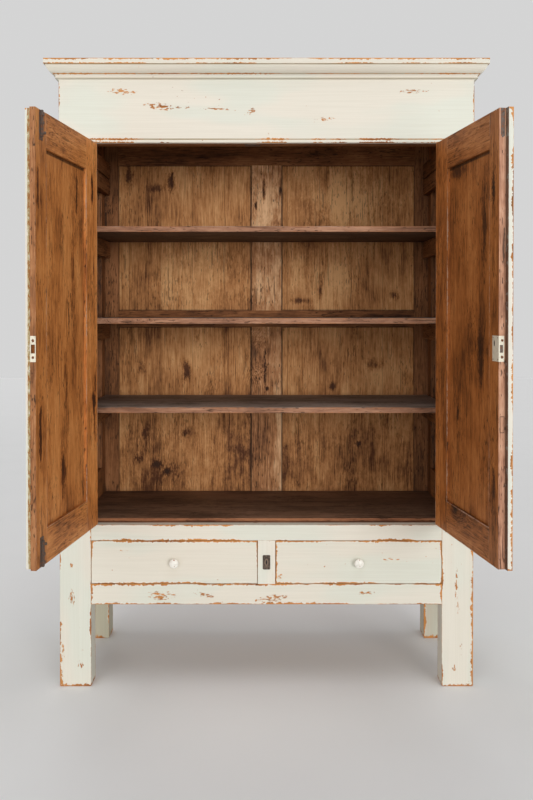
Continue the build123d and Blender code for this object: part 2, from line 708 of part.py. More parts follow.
rails = []
for height in (BACK_MIDDLE_RAIL, BACK_TOP_RAIL):
    with BuildPart(CASE) as rail:
        fill((-BACK_STILE_INNER, BACK_STILE_INNER), BACK_RAIL_DEPTH, height)
        for side in SIDES.values():
            fill(*back_rail_tenon(side, height))
        cut(*muntin_tenon(height[0], 1))
        if height == BACK_MIDDLE_RAIL:
            cut(*muntin_tenon(height[1], -1))
        cut_back_grooves()
    rails.append(rail)
with BuildPart(CASE) as rail:
    fill((-REAR_POST_INNER, REAR_POST_INNER), BACK_RAIL_DEPTH, BACK_BOTTOM_RAIL)
    for side in SIDES.values():
        fill(*bottom_back_tenon(side))
    cut(*muntin_tenon(FLOOR_BOTTOM, -1))
    cut_back_grooves()
rails.append(rail)
save_group("back_rails", rails)

muntins = []
for low, high in BACK_BAYS:
    with BuildPart(CASE) as muntin:
        fill((-MUNTIN_HALF, MUNTIN_HALF), BACK_RAIL_DEPTH, (low, high))
        fill(*muntin_tenon(low, -1))
        fill(*muntin_tenon(high, 1))
        cut_back_grooves()
    muntins.append(muntin)
save_group("back_muntins", muntins)

boards = []
entry = GROOVE_DEPTH - GROOVE_PLAY
for side in SIDES.values():
    joint = MUNTIN_HALF + BACK_PLANK_WIDTH
    for span in ((MUNTIN_HALF - entry, joint), (joint, BACK_STILE_INNER + entry)):
        for bay in BACK_BAYS:
            with BuildPart(CASE) as board:
                fill(across(side, span), BACK_TONGUE, grown(bay, entry))
            boards.append(board)
save_group("back_panels", boards)

# ------------------------------------------------------------------ floor, shelves and cleats


def cut_post_notches(front, z):
    """Notches that let a board pass round the front posts."""
    for side in SIDES.values():
        cut(across(side, (POST_INNER - SHELF_PLAY, WALL_INNER)),
            (front, FRONT_POST_DEPTH + SHELF_PLAY), z)


with BuildPart(CASE) as floor_board:
    level = (FLOOR_BOTTOM, FLOOR_TOP)
    floor_front = RAIL_DEPTH + FLOOR_GAP
    fill((-WALL_INNER, WALL_INNER), (floor_front, BACK_FACE), level)
    cut_post_notches(floor_front, level)
save(floor_board, "floor_board")

for word, bottom in SHELF_BOTTOMS.items():
    with BuildPart(CASE) as shelf:
        level = (bottom, bottom + SHELF_THICKNESS)
        fill(grown((-WALL_INNER, WALL_INNER), -SHELF_PLAY), (SHELF_SETBACK, BACK_FACE), level)
        fillet(shelf.faces().sort_by(Axis.Y)[0].edges().filter_by(Axis.X), BOARD_EASE)
        cut_post_notches(SHELF_SETBACK, level)
    save(shelf, f"shelf_{word}")

CLEAT_LEVELS = [(bottom - CLEAT_HEIGHT, bottom) for bottom in SHELF_BOTTOMS.values()]
lower_top_cleat = SHELF_BOTTOMS["top"] + SHELF_THICKNESS + TOP_CLEAT_RISE
upper_top_cleat = lower_top_cleat + TOP_CLEAT_HEIGHT + TOP_CLEAT_GAP
CLEAT_LEVELS += [(foot, foot + TOP_CLEAT_HEIGHT) for foot in (lower_top_cleat, upper_top_cleat)]

for word, side in SIDES.items():
    cleats = []
    for level in CLEAT_LEVELS:
        with BuildPart(CASE) as cleat:
            fill(across(side, (WALL_INNER - CLEAT_THICKNESS, WALL_INNER)),
                 (FRONT_POST_DEPTH, BACK_FACE), level)
            inner = cleat.faces().filter_by(Axis.X).sort_by(Axis.X, reverse=side > 0)[-1]
            chamfer(inner.edges().filter_by(Axis.Y), BOARD_EASE)
        cleats.append(cleat)
    save_group(f"{word}_cleats", cleats)

# ------------------------------------------------------------------ drawer runners, guides, stops, kickers
RUNNER_TOP = LOWER_RAIL_TOP + DRAWER_GAP - RUNNER_CLEARANCE
RUN_DEPTH = (RAIL_DEPTH, BACK_FACE)


def carcass_strip(x, y, z):
    """Strip along the depth of the case, notched round the posts that it meets."""
    with BuildPart(CASE) as strip:
        fill(x, y, z)
        for side in SIDES.values():
            if side * sum(x) > POST_INNER:
                cut(across(side, (POST_INNER, HALF)), (0, FRONT_POST_DEPTH), z)
                cut(across(side, (REAR_POST_INNER, HALF)), (REAR_POST_FRONT, BODY_DEPTH), z)
    return strip


runner_level = (RUNNER_TOP - RUNNER_HEIGHT, RUNNER_TOP)
guide_level = (RUNNER_TOP, RUNNER_TOP + GUIDE_HEIGHT)
kicker_level = (UPPER_RAIL_BOTTOM, FLOOR_BOTTOM)
middle_run = centred(0, DIVIDER_WIDTH + 2 * (DRAWER_SIDE_GAP + DRAWER_SIDE_THICKNESS))
runners = [
    carcass_strip(middle_run, RUN_DEPTH, runner_level),
    carcass_strip((-DIVIDER_HALF, DIVIDER_HALF), RUN_DEPTH, guide_level),
]
kickers = [carcass_strip(middle_run, RUN_DEPTH, kicker_level)]
for side in SIDES.values():
    outer_run = across(side, (WALL_INNER - RUNNER_WIDTH, WALL_INNER))
    runners.append(carcass_strip(outer_run, RUN_DEPTH, runner_level))
    runners.append(carcass_strip(across(side, (POST_INNER, POST_INNER + GUIDE_WIDTH)),
                                 (FRONT_POST_DEPTH, BACK_FACE), guide_level))
    kickers.append(carcass_strip(outer_run, RUN_DEPTH, kicker_level))
    for x in (DIVIDER_HALF + STOP_INSET, POST_INNER - STOP_INSET):
        stop_back = DRAWER_FRONT_THICKNESS + RUNNER_CLEARANCE
        runners.append(carcass_strip(across(side, centred(x, STOP_SIZE[0])),
                                     (stop_back, stop_back + STOP_SIZE[1]),
                                     (LOWER_RAIL_TOP, LOWER_RAIL_TOP + STOP_SIZE[2])))
save_group("drawer_runners", runners)
save_group("drawer_kickers", kickers)

# ------------------------------------------------------------------ drawers
OPENING_MIDDLE = (DIVIDER_HALF + POST_INNER) / 2
OPENING_HALF = (POST_INNER - DIVIDER_HALF) / 2
DRAWER_BOTTOM = LOWER_RAIL_TOP + DRAWER_GAP
DRAWER_FRONT_TOP = UPPER_RAIL_BOTTOM - DRAWER_GAP
DRAWER_SIDE_TOP = DRAWER_BOTTOM + DRAWER_SIDE_HEIGHT
PANEL_LEVEL = (DRAWER_BOTTOM + DRAWER_BOTTOM_RISE,
               DRAWER_BOTTOM + DRAWER_BOTTOM_RISE + DRAWER_BOTTOM_THICKNESS)
BOX_HALF = OPENING_HALF - DRAWER_SIDE_GAP
BOX_INNER = BOX_HALF - DRAWER_SIDE_THICKNESS
FRONT_HALF = OPENING_HALF - DRAWER_GAP
DRAWER_BACK = (DRAWER_DEPTH - DRAWER_BACK_SETBACK - DRAWER_SIDE_THICKNESS,
               DRAWER_DEPTH - DRAWER_BACK_SETBACK)
TAIL_PITCH = DRAWER_SIDE_HEIGHT / DOVETAILS
PANEL_TONGUE = DRAWER_GROOVE - SCREW_CLEARANCE


def dovetails(x):
    """Tails of a drawer side, placed from the case's front: they widen towards the drawer's face."""
    low, high = sorted(x)
    with BuildPart() as tails:
        with BuildSketch(Plane(origin=(low, 0, DRAWER_BOTTOM), x_dir=(0, 1, 0), z_dir=(1, 0, 0))):
            for index in range(DOVETAILS):
                middle = (index + 0.5) * TAIL_PITCH
                narrow = DOVETAIL_ROOT / 2
                wide = narrow + DOVETAIL_FLARE
                Polygon(
                    (DRAWER_FRONT_THICKNESS, middle - narrow),
                    (DRAWER_FRONT_THICKNESS, middle + narrow),
                    (DOVETAIL_LAP, middle + wide),
                    (DOVETAIL_LAP, middle - wide),
                    align=None,
                )
        extrude(amount=high - low)
    return tails


KNOB_LEVEL = (DRAWER_BOTTOM + DRAWER_FRONT_TOP) / 2


def knob_plane(middle):
    """Plane through a knob's axis: x runs out of the drawer's face, y up."""
    return Plane(origin=(middle, FRONT_Y, KNOB_LEVEL), x_dir=(0, -1, 0), z_dir=(-1, 0, 0))


for word, side in SIDES.items():
    middle = side * OPENING_MIDDLE
    side_spans = [(middle + end * BOX_INNER, middle + end * BOX_HALF) for end in (-1, 1)]
    plane = knob_plane(middle)

    with BuildPart(CASE) as front:
        fill(centred(middle, 2 * FRONT_HALF), (0, DRAWER_FRONT_THICKNESS),
             (DRAWER_BOTTOM, DRAWER_FRONT_TOP))
        for end in (-1, 1):
            socket = (middle + end * BOX_INNER, middle + end * FRONT_HALF)
            add(dovetails(socket).part, mode=Mode.SUBTRACT)
        cut(centred(middle, 2 * BOX_INNER),
            (DRAWER_FRONT_THICKNESS - DRAWER_GROOVE, DRAWER_FRONT_THICKNESS), PANEL_LEVEL)
        with Locations((middle, 0, KNOB_LEVEL)):
            Cylinder(SCREW_RADIUS + SCREW_CLEARANCE, 2 * DRAWER_FRONT_THICKNESS, rotation=(90, 0, 0),
                     mode=Mode.SUBTRACT)
    save(front, f"{word}_drawer_front")

    box = []
    for span in side_spans:
        with BuildPart(CASE) as board:
            fill(span, (DRAWER_FRONT_THICKNESS, DRAWER_DEPTH), (DRAWER_BOTTOM, DRAWER_SIDE_TOP))
            add(dovetails(span).part)
            cut(centred(middle, 2 * (BOX_INNER + DRAWER_GROOVE)),
                (DRAWER_FRONT_THICKNESS, DRAWER_DEPTH), PANEL_LEVEL)
        box.append(board)
    with BuildPart(CASE) as board:
        fill(centred(middle, 2 * BOX_INNER), DRAWER_BACK, (PANEL_LEVEL[1], DRAWER_SIDE_TOP))
    box.append(board)
    save_group(f"{word}_drawer_box", box)

    with BuildPart(CASE) as bottom:
        fill(centred(middle, 2 * (BOX_INNER + PANEL_TONGUE)),
             (DRAWER_FRONT_THICKNESS, DRAWER_BACK[1]), PANEL_LEVEL)
        fill(centred(middle, 2 * (BOX_INNER - SCREW_CLEARANCE)),
             (DRAWER_FRONT_THICKNESS - PANEL_TONGUE, DRAWER_FRONT_THICKNESS), PANEL_LEVEL)
    save(bottom, f"{word}_drawer_bottom")

    with BuildPart() as knob:
        with BuildSketch(plane):
            Polygon(
                (0, SCREW_RADIUS),
                (0, KNOB_NECK_RADIUS),
                (KNOB_NECK_HEIGHT, KNOB_NECK_RADIUS),
                (KNOB_NECK_HEIGHT, KNOB_RADIUS),
                (KNOB_BROW_HEIGHT, KNOB_RADIUS),
                (KNOB_HEIGHT, KNOB_FACE_RADIUS),
                (KNOB_HEIGHT, 0),
                (SCREW_BITE, 0),
                (SCREW_BITE, SCREW_RADIUS),
                align=None,
            )
        revolve(axis=Axis(plane.origin, plane.x_dir))
    save(knob, f"{word}_knob")

    head = -DRAWER_FRONT_THICKNESS - SCREW_HEAD_HEIGHT
    with BuildPart() as screw:
        with BuildSketch(plane):
            Polygon(
                (head, 0),
                (SCREW_BITE, 0),
                (SCREW_BITE, SCREW_RADIUS),
                (-DRAWER_FRONT_THICKNESS, SCREW_RADIUS),
                (-DRAWER_FRONT_THICKNESS, SCREW_HEAD_RADIUS),
                (head, SCREW_HEAD_RADIUS),
                align=None,
            )
        revolve(axis=Axis(plane.origin, plane.x_dir))
    save(screw, f"{word}_knob_screw")

# ------------------------------------------------------------------ hinge leaves
leaf_depth = (0, BARREL_PROUD + HINGE_LEAF_WIDTH)
post_leaves = []
for word, side in SIDES.items():
    pivot = Plane(origin=(side * PIVOT_X, FRONT_Y - BARREL_PROUD, 0))
    with BuildPart(pivot) as leaves:
        leaf_span = (HINGE_EDGE, HINGE_EDGE + HINGE_LEAF_THICKNESS)
        hinge_leaf(across(side, leaf_span), leaf_depth, keep=0, pin=True)
    post_leaves.append(leaves)
    plane, hand = LEAVES[word]
    with BuildPart(plane) as leaves:
        hinge_leaf(leaf_span, across(hand, leaf_depth), keep=1, pin=False)
    save(leaves, f"{word}_door_hinge_leaves")
save_group("post_hinge_leaves", post_leaves)

# ------------------------------------------------------------------ doors
LEAF_HEIGHT = (DOOR_BOTTOM, DOOR_TOP)
LEAF_DEPTH = (OUTER_FACE, INNER_FACE)
DOOR_RAIL_LEVELS = ((DOOR_BOTTOM, DOOR_PANEL_HEIGHTS[0]), (DOOR_PANEL_HEIGHTS[1], DOOR_TOP))


def door_tenon(hand, stile_face, direction, height):
    """Tenon by which a door rail enters a stile."""
    return (
        (stile_face, stile_face + direction * TENON_LENGTH),
        across(hand, within(LEAF_DEPTH, TENON_THICKNESS)),
        grown(height, -GROOVE_DEPTH),
    )


def cut_door_groove(hand, along):
    """Groove for the door panel, grown upwards and, for a stile, along the leaf as well."""
    cut(grown(DOOR_PANEL_SPAN, along), across(hand, (DOOR_TONGUE_FRONT, DOOR_TONGUE_BACK)),
        grown(DOOR_PANEL_HEIGHTS, GROOVE_DEPTH))


LOCK_LEVEL = centred(LOCK_HEIGHT_FROM_FLOOR, LOCK_PLATE_HEIGHT)
TONGUE_DEPTH = (OUTER_FACE + LEFT_REBATE_DEPTH, INNER_FACE)
INNER_LAYER = (OUTER_FACE + RIGHT_LIP_THICKNESS, INNER_FACE)
BOLT_LAYER = within(TONGUE_DEPTH, LOCK_BOLT_THICKNESS)
LOCK_BOLT_LEVEL = centred(LOCK_HEIGHT_FROM_FLOOR, LOCK_BOLT_HEIGHT)
LOCK_CASE_LAYER = (INNER_FACE - LOCK_PLATE_THICKNESS - LOCK_CASE_DEPTH, INNER_FACE)
LOCK_CASE_LEVEL = grown(LOCK_LEVEL, -LOCK_CASE_MARGIN)
LOCK_CASE_SPAN = (RIGHT_INNER_END - LOCK_PLATE_WIDTH + LOCK_CASE_MARGIN, RIGHT_INNER_END)


def fill_lock(hand, mode=Mode.ADD):
    """The lock's body: a plate on the inner face, a plate on the edge and the case between."""
    fill((RIGHT_INNER_END - LOCK_PLATE_WIDTH, RIGHT_INNER_END),
         across(hand, (INNER_FACE - LOCK_PLATE_THICKNESS, INNER_FACE)), LOCK_LEVEL, mode=mode)
    fill((RIGHT_INNER_END - LOCK_PLATE_THICKNESS, RIGHT_INNER_END),
         across(hand, LOCK_CASE_LAYER), LOCK_LEVEL, mode=mode)
    fill(LOCK_CASE_SPAN, across(hand, LOCK_CASE_LAYER), LOCK_CASE_LEVEL, mode=mode)


def edge_plate_outline(hand):
    """Pointed strip let into the right door's edge at its top, on a plane on that edge."""
    middle = sum(INNER_LAYER) / 2
    foot = DOOR_TOP - EDGE_PLATE_LENGTH
    near, far = across(hand, centred(middle, EDGE_PLATE_WIDTH))
    edge = Plane(origin=RIGHT_LEAF.from_local_coords((RIGHT_INNER_END, 0, 0)),
                 x_dir=RIGHT_LEAF.y_dir, z_dir=RIGHT_LEAF.x_dir)
    with BuildSketch(edge) as outline:
        Polygon(
            (near, DOOR_TOP),
            (far, DOOR_TOP),
            (far, foot + EDGE_PLATE_POINT),
            (hand * middle, foot),
            (near, foot + EDGE_PLATE_POINT),
            align=None,
        )
    return outline.sketch


for word, (plane, hand) in LEAVES.items():
    with BuildPart(plane) as hinge_stile:
        fill((HINGE_EDGE, DOOR_PANEL_START), across(hand, LEAF_DEPTH), LEAF_HEIGHT)
        for height in DOOR_RAIL_LEVELS:
            cut(*door_tenon(hand, DOOR_PANEL_START, -1, height))
        cut_door_groove(hand, GROOVE_DEPTH)
        cut_hinge_seats((HINGE_EDGE, HINGE_EDGE + HINGE_LEAF_THICKNESS),
                        across(hand, (OUTER_FACE, BARREL_PROUD + HINGE_LEAF_WIDTH)))
    save(hinge_stile, f"{word}_hinge_stile")

    rails = []
    for height in DOOR_RAIL_LEVELS:
        with BuildPart(plane) as rail:
            fill(DOOR_PANEL_SPAN, across(hand, LEAF_DEPTH), height)
            fill(*door_tenon(hand, DOOR_PANEL_START, -1, height))
            fill(*door_tenon(hand, DOOR_PANEL_END, 1, height))
            cut_door_groove(hand, 0)
        rails.append(rail)
    save_group(f"{word}_door_rails", rails)

    middle = (sum(DOOR_PANEL_SPAN) / 2, hand * DOOR_TONGUE_BACK, sum(DOOR_PANEL_HEIGHTS) / 2)
    panel_plane = Plane(origin=plane.from_local_coords(middle), x_dir=plane.x_dir,
                        z_dir=plane.y_dir * -hand)
    panel = fielded_panel(panel_plane, DOOR_PANEL_END - DOOR_PANEL_START,
                          DOOR_PANEL_HEIGHTS[1] - DOOR_PANEL_HEIGHTS[0],
                          DOOR_FIELD_RISE, DOOR_FIELD_BEVEL)
    save(panel, f"{word}_door_panel")

# ------------------------------------------------------------------ left door: lock stile and bolts
plane, hand = LEAVES["left"]
with BuildPart(plane) as lock_stile:
    fill((DOOR_PANEL_END, LEFT_OUTER_END), across(hand, LEAF_DEPTH), LEAF_HEIGHT)
    fill((LEFT_OUTER_END, LEFT_TONGUE_END), across(hand, TONGUE_DEPTH), LEAF_HEIGHT)
    for height in DOOR_RAIL_LEVELS:
        cut(*door_tenon(hand, DOOR_PANEL_END, 1, height))
    cut_door_groove(hand, GROOVE_DEPTH)
    cut((LEFT_TONGUE_END - LOCK_PLATE_THICKNESS, LEFT_TONGUE_END), across(hand, TONGUE_DEPTH), LOCK_LEVEL)
    cut((LEFT_TONGUE_END - STRIKE_POCKET_DEPTH, LEFT_TONGUE_END),
        across(hand, grown(BOLT_LAYER, MEETING_GAP)), grown(LOCK_BOLT_LEVEL, MEETING_GAP))
save(lock_stile, "left_lock_stile")

with BuildPart(plane) as strike_plate:
    fill((LEFT_TONGUE_END - LOCK_PLATE_THICKNESS, LEFT_TONGUE_END), across(hand, TONGUE_DEPTH), LOCK_LEVEL)
    cut((LEFT_TONGUE_END - LOCK_PLATE_THICKNESS, LEFT_TONGUE_END),
        across(hand, grown(BOLT_LAYER, MEETING_GAP)), grown(LOCK_BOLT_LEVEL, MEETING_GAP))
save(strike_plate, "strike_plate")

BOLT_ALONG = LEFT_TONGUE_END - BOLT_FROM_EDGE
BAR_LAYER = (INNER_FACE + BOLT_PLATE_THICKNESS + FITTING_CLEARANCE,
             INNER_FACE + BOLT_PLATE_THICKNESS + FITTING_CLEARANCE + BOLT_BAR_THICKNESS)
STAPLE_LAYER = (INNER_FACE, BAR_LAYER[1] + FITTING_CLEARANCE + STAPLE_WALL)
BAR_SPAN = centred(BOLT_ALONG, BOLT_BAR_WIDTH)

bolt_plates = []
for word, end, inwards in (("top", DOOR_TOP, -1), ("bottom", DOOR_BOTTOM, 1)):
    with BuildPart(plane) as bolt_plate:
        fill(centred(BOLT_ALONG, BOLT_PLATE_WIDTH),
             (INNER_FACE, INNER_FACE + BOLT_PLATE_THICKNESS),
             (end + inwards * BOLT_PLATE_END, end + inwards * (BOLT_PLATE_END + BOLT_PLATE_LENGTH)))
        for offset in STAPLE_OFFSETS:
            staple_level = centred(end + inwards * offset, STAPLE_WIDTH)
            fill(grown(BAR_SPAN, FITTING_CLEARANCE + STAPLE_WALL), STAPLE_LAYER, staple_level)
            cut(grown(BAR_SPAN, FITTING_CLEARANCE),
                (INNER_FACE + BOLT_PLATE_THICKNESS, BAR_LAYER[1] + FITTING_CLEARANCE), staple_level)
    bolt_plates.append(bolt_plate)

    with BuildPart(plane) as bolt:
        fill(BAR_SPAN, BAR_LAYER,
             (end + inwards * BOLT_BAR_END, end + inwards * (BOLT_BAR_END + BOLT_BAR_LENGTH)))
        knob_seat = Plane(
            origin=plane.from_local_coords((BOLT_ALONG, BAR_LAYER[1], end + inwards * BOLT_KNOB_OFFSET)),
            z_dir=plane.y_dir,
        )
        with BuildSketch(knob_seat) as knob_outline:
            Circle(BOLT_KNOB_RADIUS)
        extrude(knob_outline.sketch, amount=BOLT_KNOB_HEIGHT)
        knob_rim = bolt.edges().filter_by(GeomType.CIRCLE).sort_by(Axis(plane.origin, plane.y_dir))[-1]
        chamfer(knob_rim, BOLT_KNOB_CHAMFER)
    save(bolt, f"left_{word}_bolt")
save_group("left_bolt_plates", bolt_plates)

# ------------------------------------------------------------------ right door: lock stile and lock
plane, hand = LEAVES["right"]
LOCK_FACE = Plane(
    origin=plane.from_local_coords((RIGHT_INNER_END - KEYHOLE_BACKSET, hand * OUTER_FACE,
                                    LOCK_HEIGHT_FROM_FLOOR)),
    x_dir=plane.x_dir,
    z_dir=plane.y_dir * -hand,
)
plate_outline = edge_plate_outline(hand)

with BuildPart(plane) as lock_stile:
    fill((DOOR_PANEL_END, RIGHT_INNER_END), across(hand, LEAF_DEPTH), LEAF_HEIGHT)
    fill((RIGHT_INNER_END, RIGHT_LIP_END), across(hand, (OUTER_FACE, INNER_LAYER[0])), LEAF_HEIGHT)
    for height in DOOR_RAIL_LEVELS:
        cut(*door_tenon(hand, DOOR_PANEL_END, 1, height))
    cut_door_groove(hand, GROOVE_DEPTH)
    fill_lock(hand, mode=Mode.SUBTRACT)
    extrude(plate_outline, amount=-EDGE_PLATE_THICKNESS, mode=Mode.SUBTRACT)
    keyhole_cut(LOCK_FACE, DOOR_THICKNESS - LOCK_PLATE_THICKNESS)
save(lock_stile, "right_lock_stile")

with BuildPart() as edge_plate:
    extrude(plate_outline, amount=-EDGE_PLATE_THICKNESS)
save(edge_plate, "edge_plate")

BOLT_CHANNEL = (LOCK_CASE_SPAN[0] + LOCK_PLATE_THICKNESS, RIGHT_INNER_END)
with BuildPart(plane) as lock_case:
    fill_lock(hand)
    cut(BOLT_CHANNEL, across(hand, grown(BOLT_LAYER, FITTING_CLEARANCE)),
        grown(LOCK_BOLT_LEVEL, FITTING_CLEARANCE))
    keyhole_cut(LOCK_FACE, DOOR_THICKNESS - LOCK_PLATE_THICKNESS)
save(lock_case, "lock_case")

with BuildPart(plane) as lock_bolt:
    fill((RIGHT_INNER_END - LOCK_BOLT_LENGTH, RIGHT_INNER_END), across(hand, BOLT_LAYER), LOCK_BOLT_LEVEL)
save(lock_bolt, "lock_bolt")


# ------------------------------------------------------------------ key plates
def key_plate(plane, size):
    """Bordered plate with an oval keyhole, lying on the plane."""
    width, height = size
    with BuildPart() as plate:
        with BuildSketch(plane):
            Rectangle(width, height)
        extrude(amount=KEY_PLATE_THICKNESS)
        with BuildSketch(plane.offset(KEY_PLATE_THICKNESS / 2)) as field:
            Rectangle(width - 2 * KEY_PLATE_BORDER, height - 2 * KEY_PLATE_BORDER)
        extrude(field.sketch, amount=KEY_PLATE_THICKNESS / 2, mode=Mode.SUBTRACT)
        with BuildSketch(plane) as keyhole:
            SlotOverall(KEYHOLE_LENGTH, KEYHOLE_WIDTH, rotation=90)
        extrude(keyhole.sketch, amount=KEY_PLATE_THICKNESS, mode=Mode.SUBTRACT)
    return plate


save(key_plate(DIVIDER_FRONT, DRAWER_KEY_PLATE), "drawer_escutcheon")
save(key_plate(LOCK_FACE, DOOR_KEY_PLATE), "door_escutcheon")
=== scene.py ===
"""Dresses the trastero cabinet: old cream paint worn to the wood outside, stained pine inside."""

import json
import math

import bpy
from mathutils import Euler, Matrix, Vector


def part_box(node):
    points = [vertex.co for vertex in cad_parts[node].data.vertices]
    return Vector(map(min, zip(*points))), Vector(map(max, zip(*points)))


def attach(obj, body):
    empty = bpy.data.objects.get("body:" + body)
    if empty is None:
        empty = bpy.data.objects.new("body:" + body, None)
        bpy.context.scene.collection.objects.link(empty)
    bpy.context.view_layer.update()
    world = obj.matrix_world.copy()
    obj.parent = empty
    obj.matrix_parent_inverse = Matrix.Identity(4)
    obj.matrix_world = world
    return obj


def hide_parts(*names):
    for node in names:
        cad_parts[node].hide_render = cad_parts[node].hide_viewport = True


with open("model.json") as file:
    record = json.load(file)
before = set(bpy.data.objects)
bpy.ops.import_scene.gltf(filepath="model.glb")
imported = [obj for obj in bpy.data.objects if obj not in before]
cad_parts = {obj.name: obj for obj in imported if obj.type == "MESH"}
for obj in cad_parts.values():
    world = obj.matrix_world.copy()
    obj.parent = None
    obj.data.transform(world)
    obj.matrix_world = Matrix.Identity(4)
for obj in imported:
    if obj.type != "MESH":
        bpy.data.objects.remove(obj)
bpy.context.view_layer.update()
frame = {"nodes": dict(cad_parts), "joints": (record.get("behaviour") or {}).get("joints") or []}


# ------------------------------------------------------------------ places read from the frame, in metres
MM = 0.001
ORIGIN = (0.0, 0.0, 0.0)
FRONT_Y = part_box("frieze_board")[0].y
CASE_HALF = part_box("frieze_board")[1].x
POST_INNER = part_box("front_right_post")[0].x
DOOR_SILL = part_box("upper_drawer_rail")[1].z
DOOR_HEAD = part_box("frieze_board")[0].z
LEG_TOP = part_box("lower_drawer_rail")[0].z
CORNICE_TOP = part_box("cornice_front")[1].z
JOINTS = {joint["name"]: joint for joint in frame["joints"]}
SIDES = {"left": -1, "right": 1}


# ------------------------------------------------------------------ colours


def tint(red, green, blue):
    """Linear colour of a tone given as sRGB from 0 to 255."""
    channels = []
    for value in (red, green, blue):
        share = value / 255
        channels.append(share / 12.92 if share <= 0.04045 else ((share + 0.055) / 1.055) ** 2.4)
    return (*channels, 1.0)


CREAM = tint(231, 225, 211)
MINT = tint(223, 225, 212)
BLUSH = tint(230, 223, 209)
# painted highlight on the coat's lip beside worn edges
PAINT_HIGHLIGHT = tint(243, 241, 231)
# olive dark of dirt on the paint and its joints, and painted shade in its creases
PAINT_DIRT_AND_SHADE = tint(156, 144, 110)
BARE_LIGHT = tint(208, 142, 78)
BARE_DARK = tint(146, 88, 42)
# dark of flecks, knots and joints, and painted shade in creases and gaps
GAP_DARK = tint(40, 26, 16)


# ------------------------------------------------------------------ node helpers


class Nodes:
    """Adds shader nodes to a tree; an input given as a socket is linked, any other value is set."""

    def __init__(self, tree):
        self.tree = tree

    def feed(self, socket, value):
        if isinstance(value, bpy.types.NodeSocket):
            self.tree.links.new(value, socket)
        elif value is not None:
            socket.default_value = value

    def put(self, kind, inputs, **settings):
        node = self.tree.nodes.new(kind)
        for name, value in settings.items():
            setattr(node, name, value)
        for key, value in inputs.items():
            self.feed(node.inputs[key], value)
        return node

    def math(self, operation, first, second=None, third=None, clamp=False):
        inputs = {0: first, 1: second, 2: third}
        return self.put("ShaderNodeMath", inputs, operation=operation, use_clamp=clamp).outputs[0]

    def times(self, first, second):
        return self.math("MULTIPLY", first, second)

    def minus(self, first, second):
        return self.math("SUBTRACT", first, second)

    def most(self, first, second):
        return self.math("MAXIMUM", first, second)

    def above(self, value, limit):
        return self.math("GREATER_THAN", value, limit)

    def scaled(self, value, factor, base, clamp=False):
        """A value times a factor, added to a base."""
        return self.math("MULTIPLY_ADD", value, factor, base, clamp)

    def swung(self, value, factor, base):
        """What a pattern swings about its middle, times a factor, added to a base."""
        return self.scaled(self.minus(value, 0.5), factor, base)

    def vector(self, operation, first, second=None):
        node = self.put("ShaderNodeVectorMath", {0: first, 1: second}, operation=operation)
        return node.outputs["Value" if operation in ("LENGTH", "DOT_PRODUCT") else "Vector"]

    def split(self, vector):
        return self.put("ShaderNodeSeparateXYZ", {0: vector}).outputs

    def join(self, x, y, z):
        return self.put("ShaderNodeCombineXYZ", {0: x, 1: y, 2: z}).outputs[0]

    def spread(self, value, low, high, to_low=0.0, to_high=1.0, smooth=False):
        """Turns the range low to high of a value into to_low to to_high, held at its ends."""
        inputs = {"Value": value, "From Min": low, "From Max": high, "To Min": to_low, "To Max": to_high}
        kind = "SMOOTHSTEP" if smooth else "LINEAR"
        return self.put("ShaderNodeMapRange", inputs, interpolation_type=kind).outputs[0]

    def noise(self, vector, scale, detail=2.0, roughness=0.5):
        """Noise whose scale is one value, or one for each of x, y and z."""
        if isinstance(scale, tuple):
            vector, scale = self.vector("MULTIPLY", vector, scale), 1.0
        inputs = {"Vector": vector, "Scale": scale, "Detail": detail, "Roughness": roughness}
        return self.put("ShaderNodeTexNoise", inputs).outputs["Fac"]

    def mix(self, share, first, second):
        node = self.put("ShaderNodeMix", {}, data_type="RGBA")
        self.feed(node.inputs[0], share)
        self.feed(node.inputs[6], first)
        self.feed(node.inputs[7], second)
        return node.outputs[2]

    def ramp(self, value, stops):
        """Colour ramp; stops are (place, colour) from 0 to 1."""
        node = self.put("ShaderNodeValToRGB", {"Fac": value})
        elements = node.color_ramp.elements
        while len(elements) < len(stops):
            elements.new(0.5)
        for element, (place, colour) in zip(elements, stops):
            element.position = place
            element.color = colour
        return node.outputs["Color"]

    def least(self, values):
        """The smallest of several values."""
        smallest = values[0]
        for value in values[1:]:
            smallest = self.math("MINIMUM", smallest, value)
        return smallest

    def group(self, tree, **inputs):
        node = self.put("ShaderNodeGroup", {})
        node.node_tree = tree
        for name, value in inputs.items():
            self.feed(node.inputs[name.replace("_", " ").title()], value)
        return node.outputs


def new_group(name, inputs, outputs):
    """An empty node group with named sockets: its nodes, what it is given and what it gives out."""
    tree = bpy.data.node_groups.new(name, "ShaderNodeTree")
    for label, default in inputs.items():
        kind = "NodeSocketVector" if isinstance(default, tuple) else "NodeSocketFloat"
        socket = tree.interface.new_socket(name=label, in_out="INPUT", socket_type=kind)
        socket.default_value = default
    for label in outputs:
        tree.interface.new_socket(name=label, in_out="OUTPUT", socket_type="NodeSocketFloat")
    nodes = Nodes(tree)
    entry = tree.nodes.new("NodeGroupInput")
    leave = tree.nodes.new("NodeGroupOutput")
    return nodes, entry.outputs, leave.inputs


# ------------------------------------------------------------------ shared effects


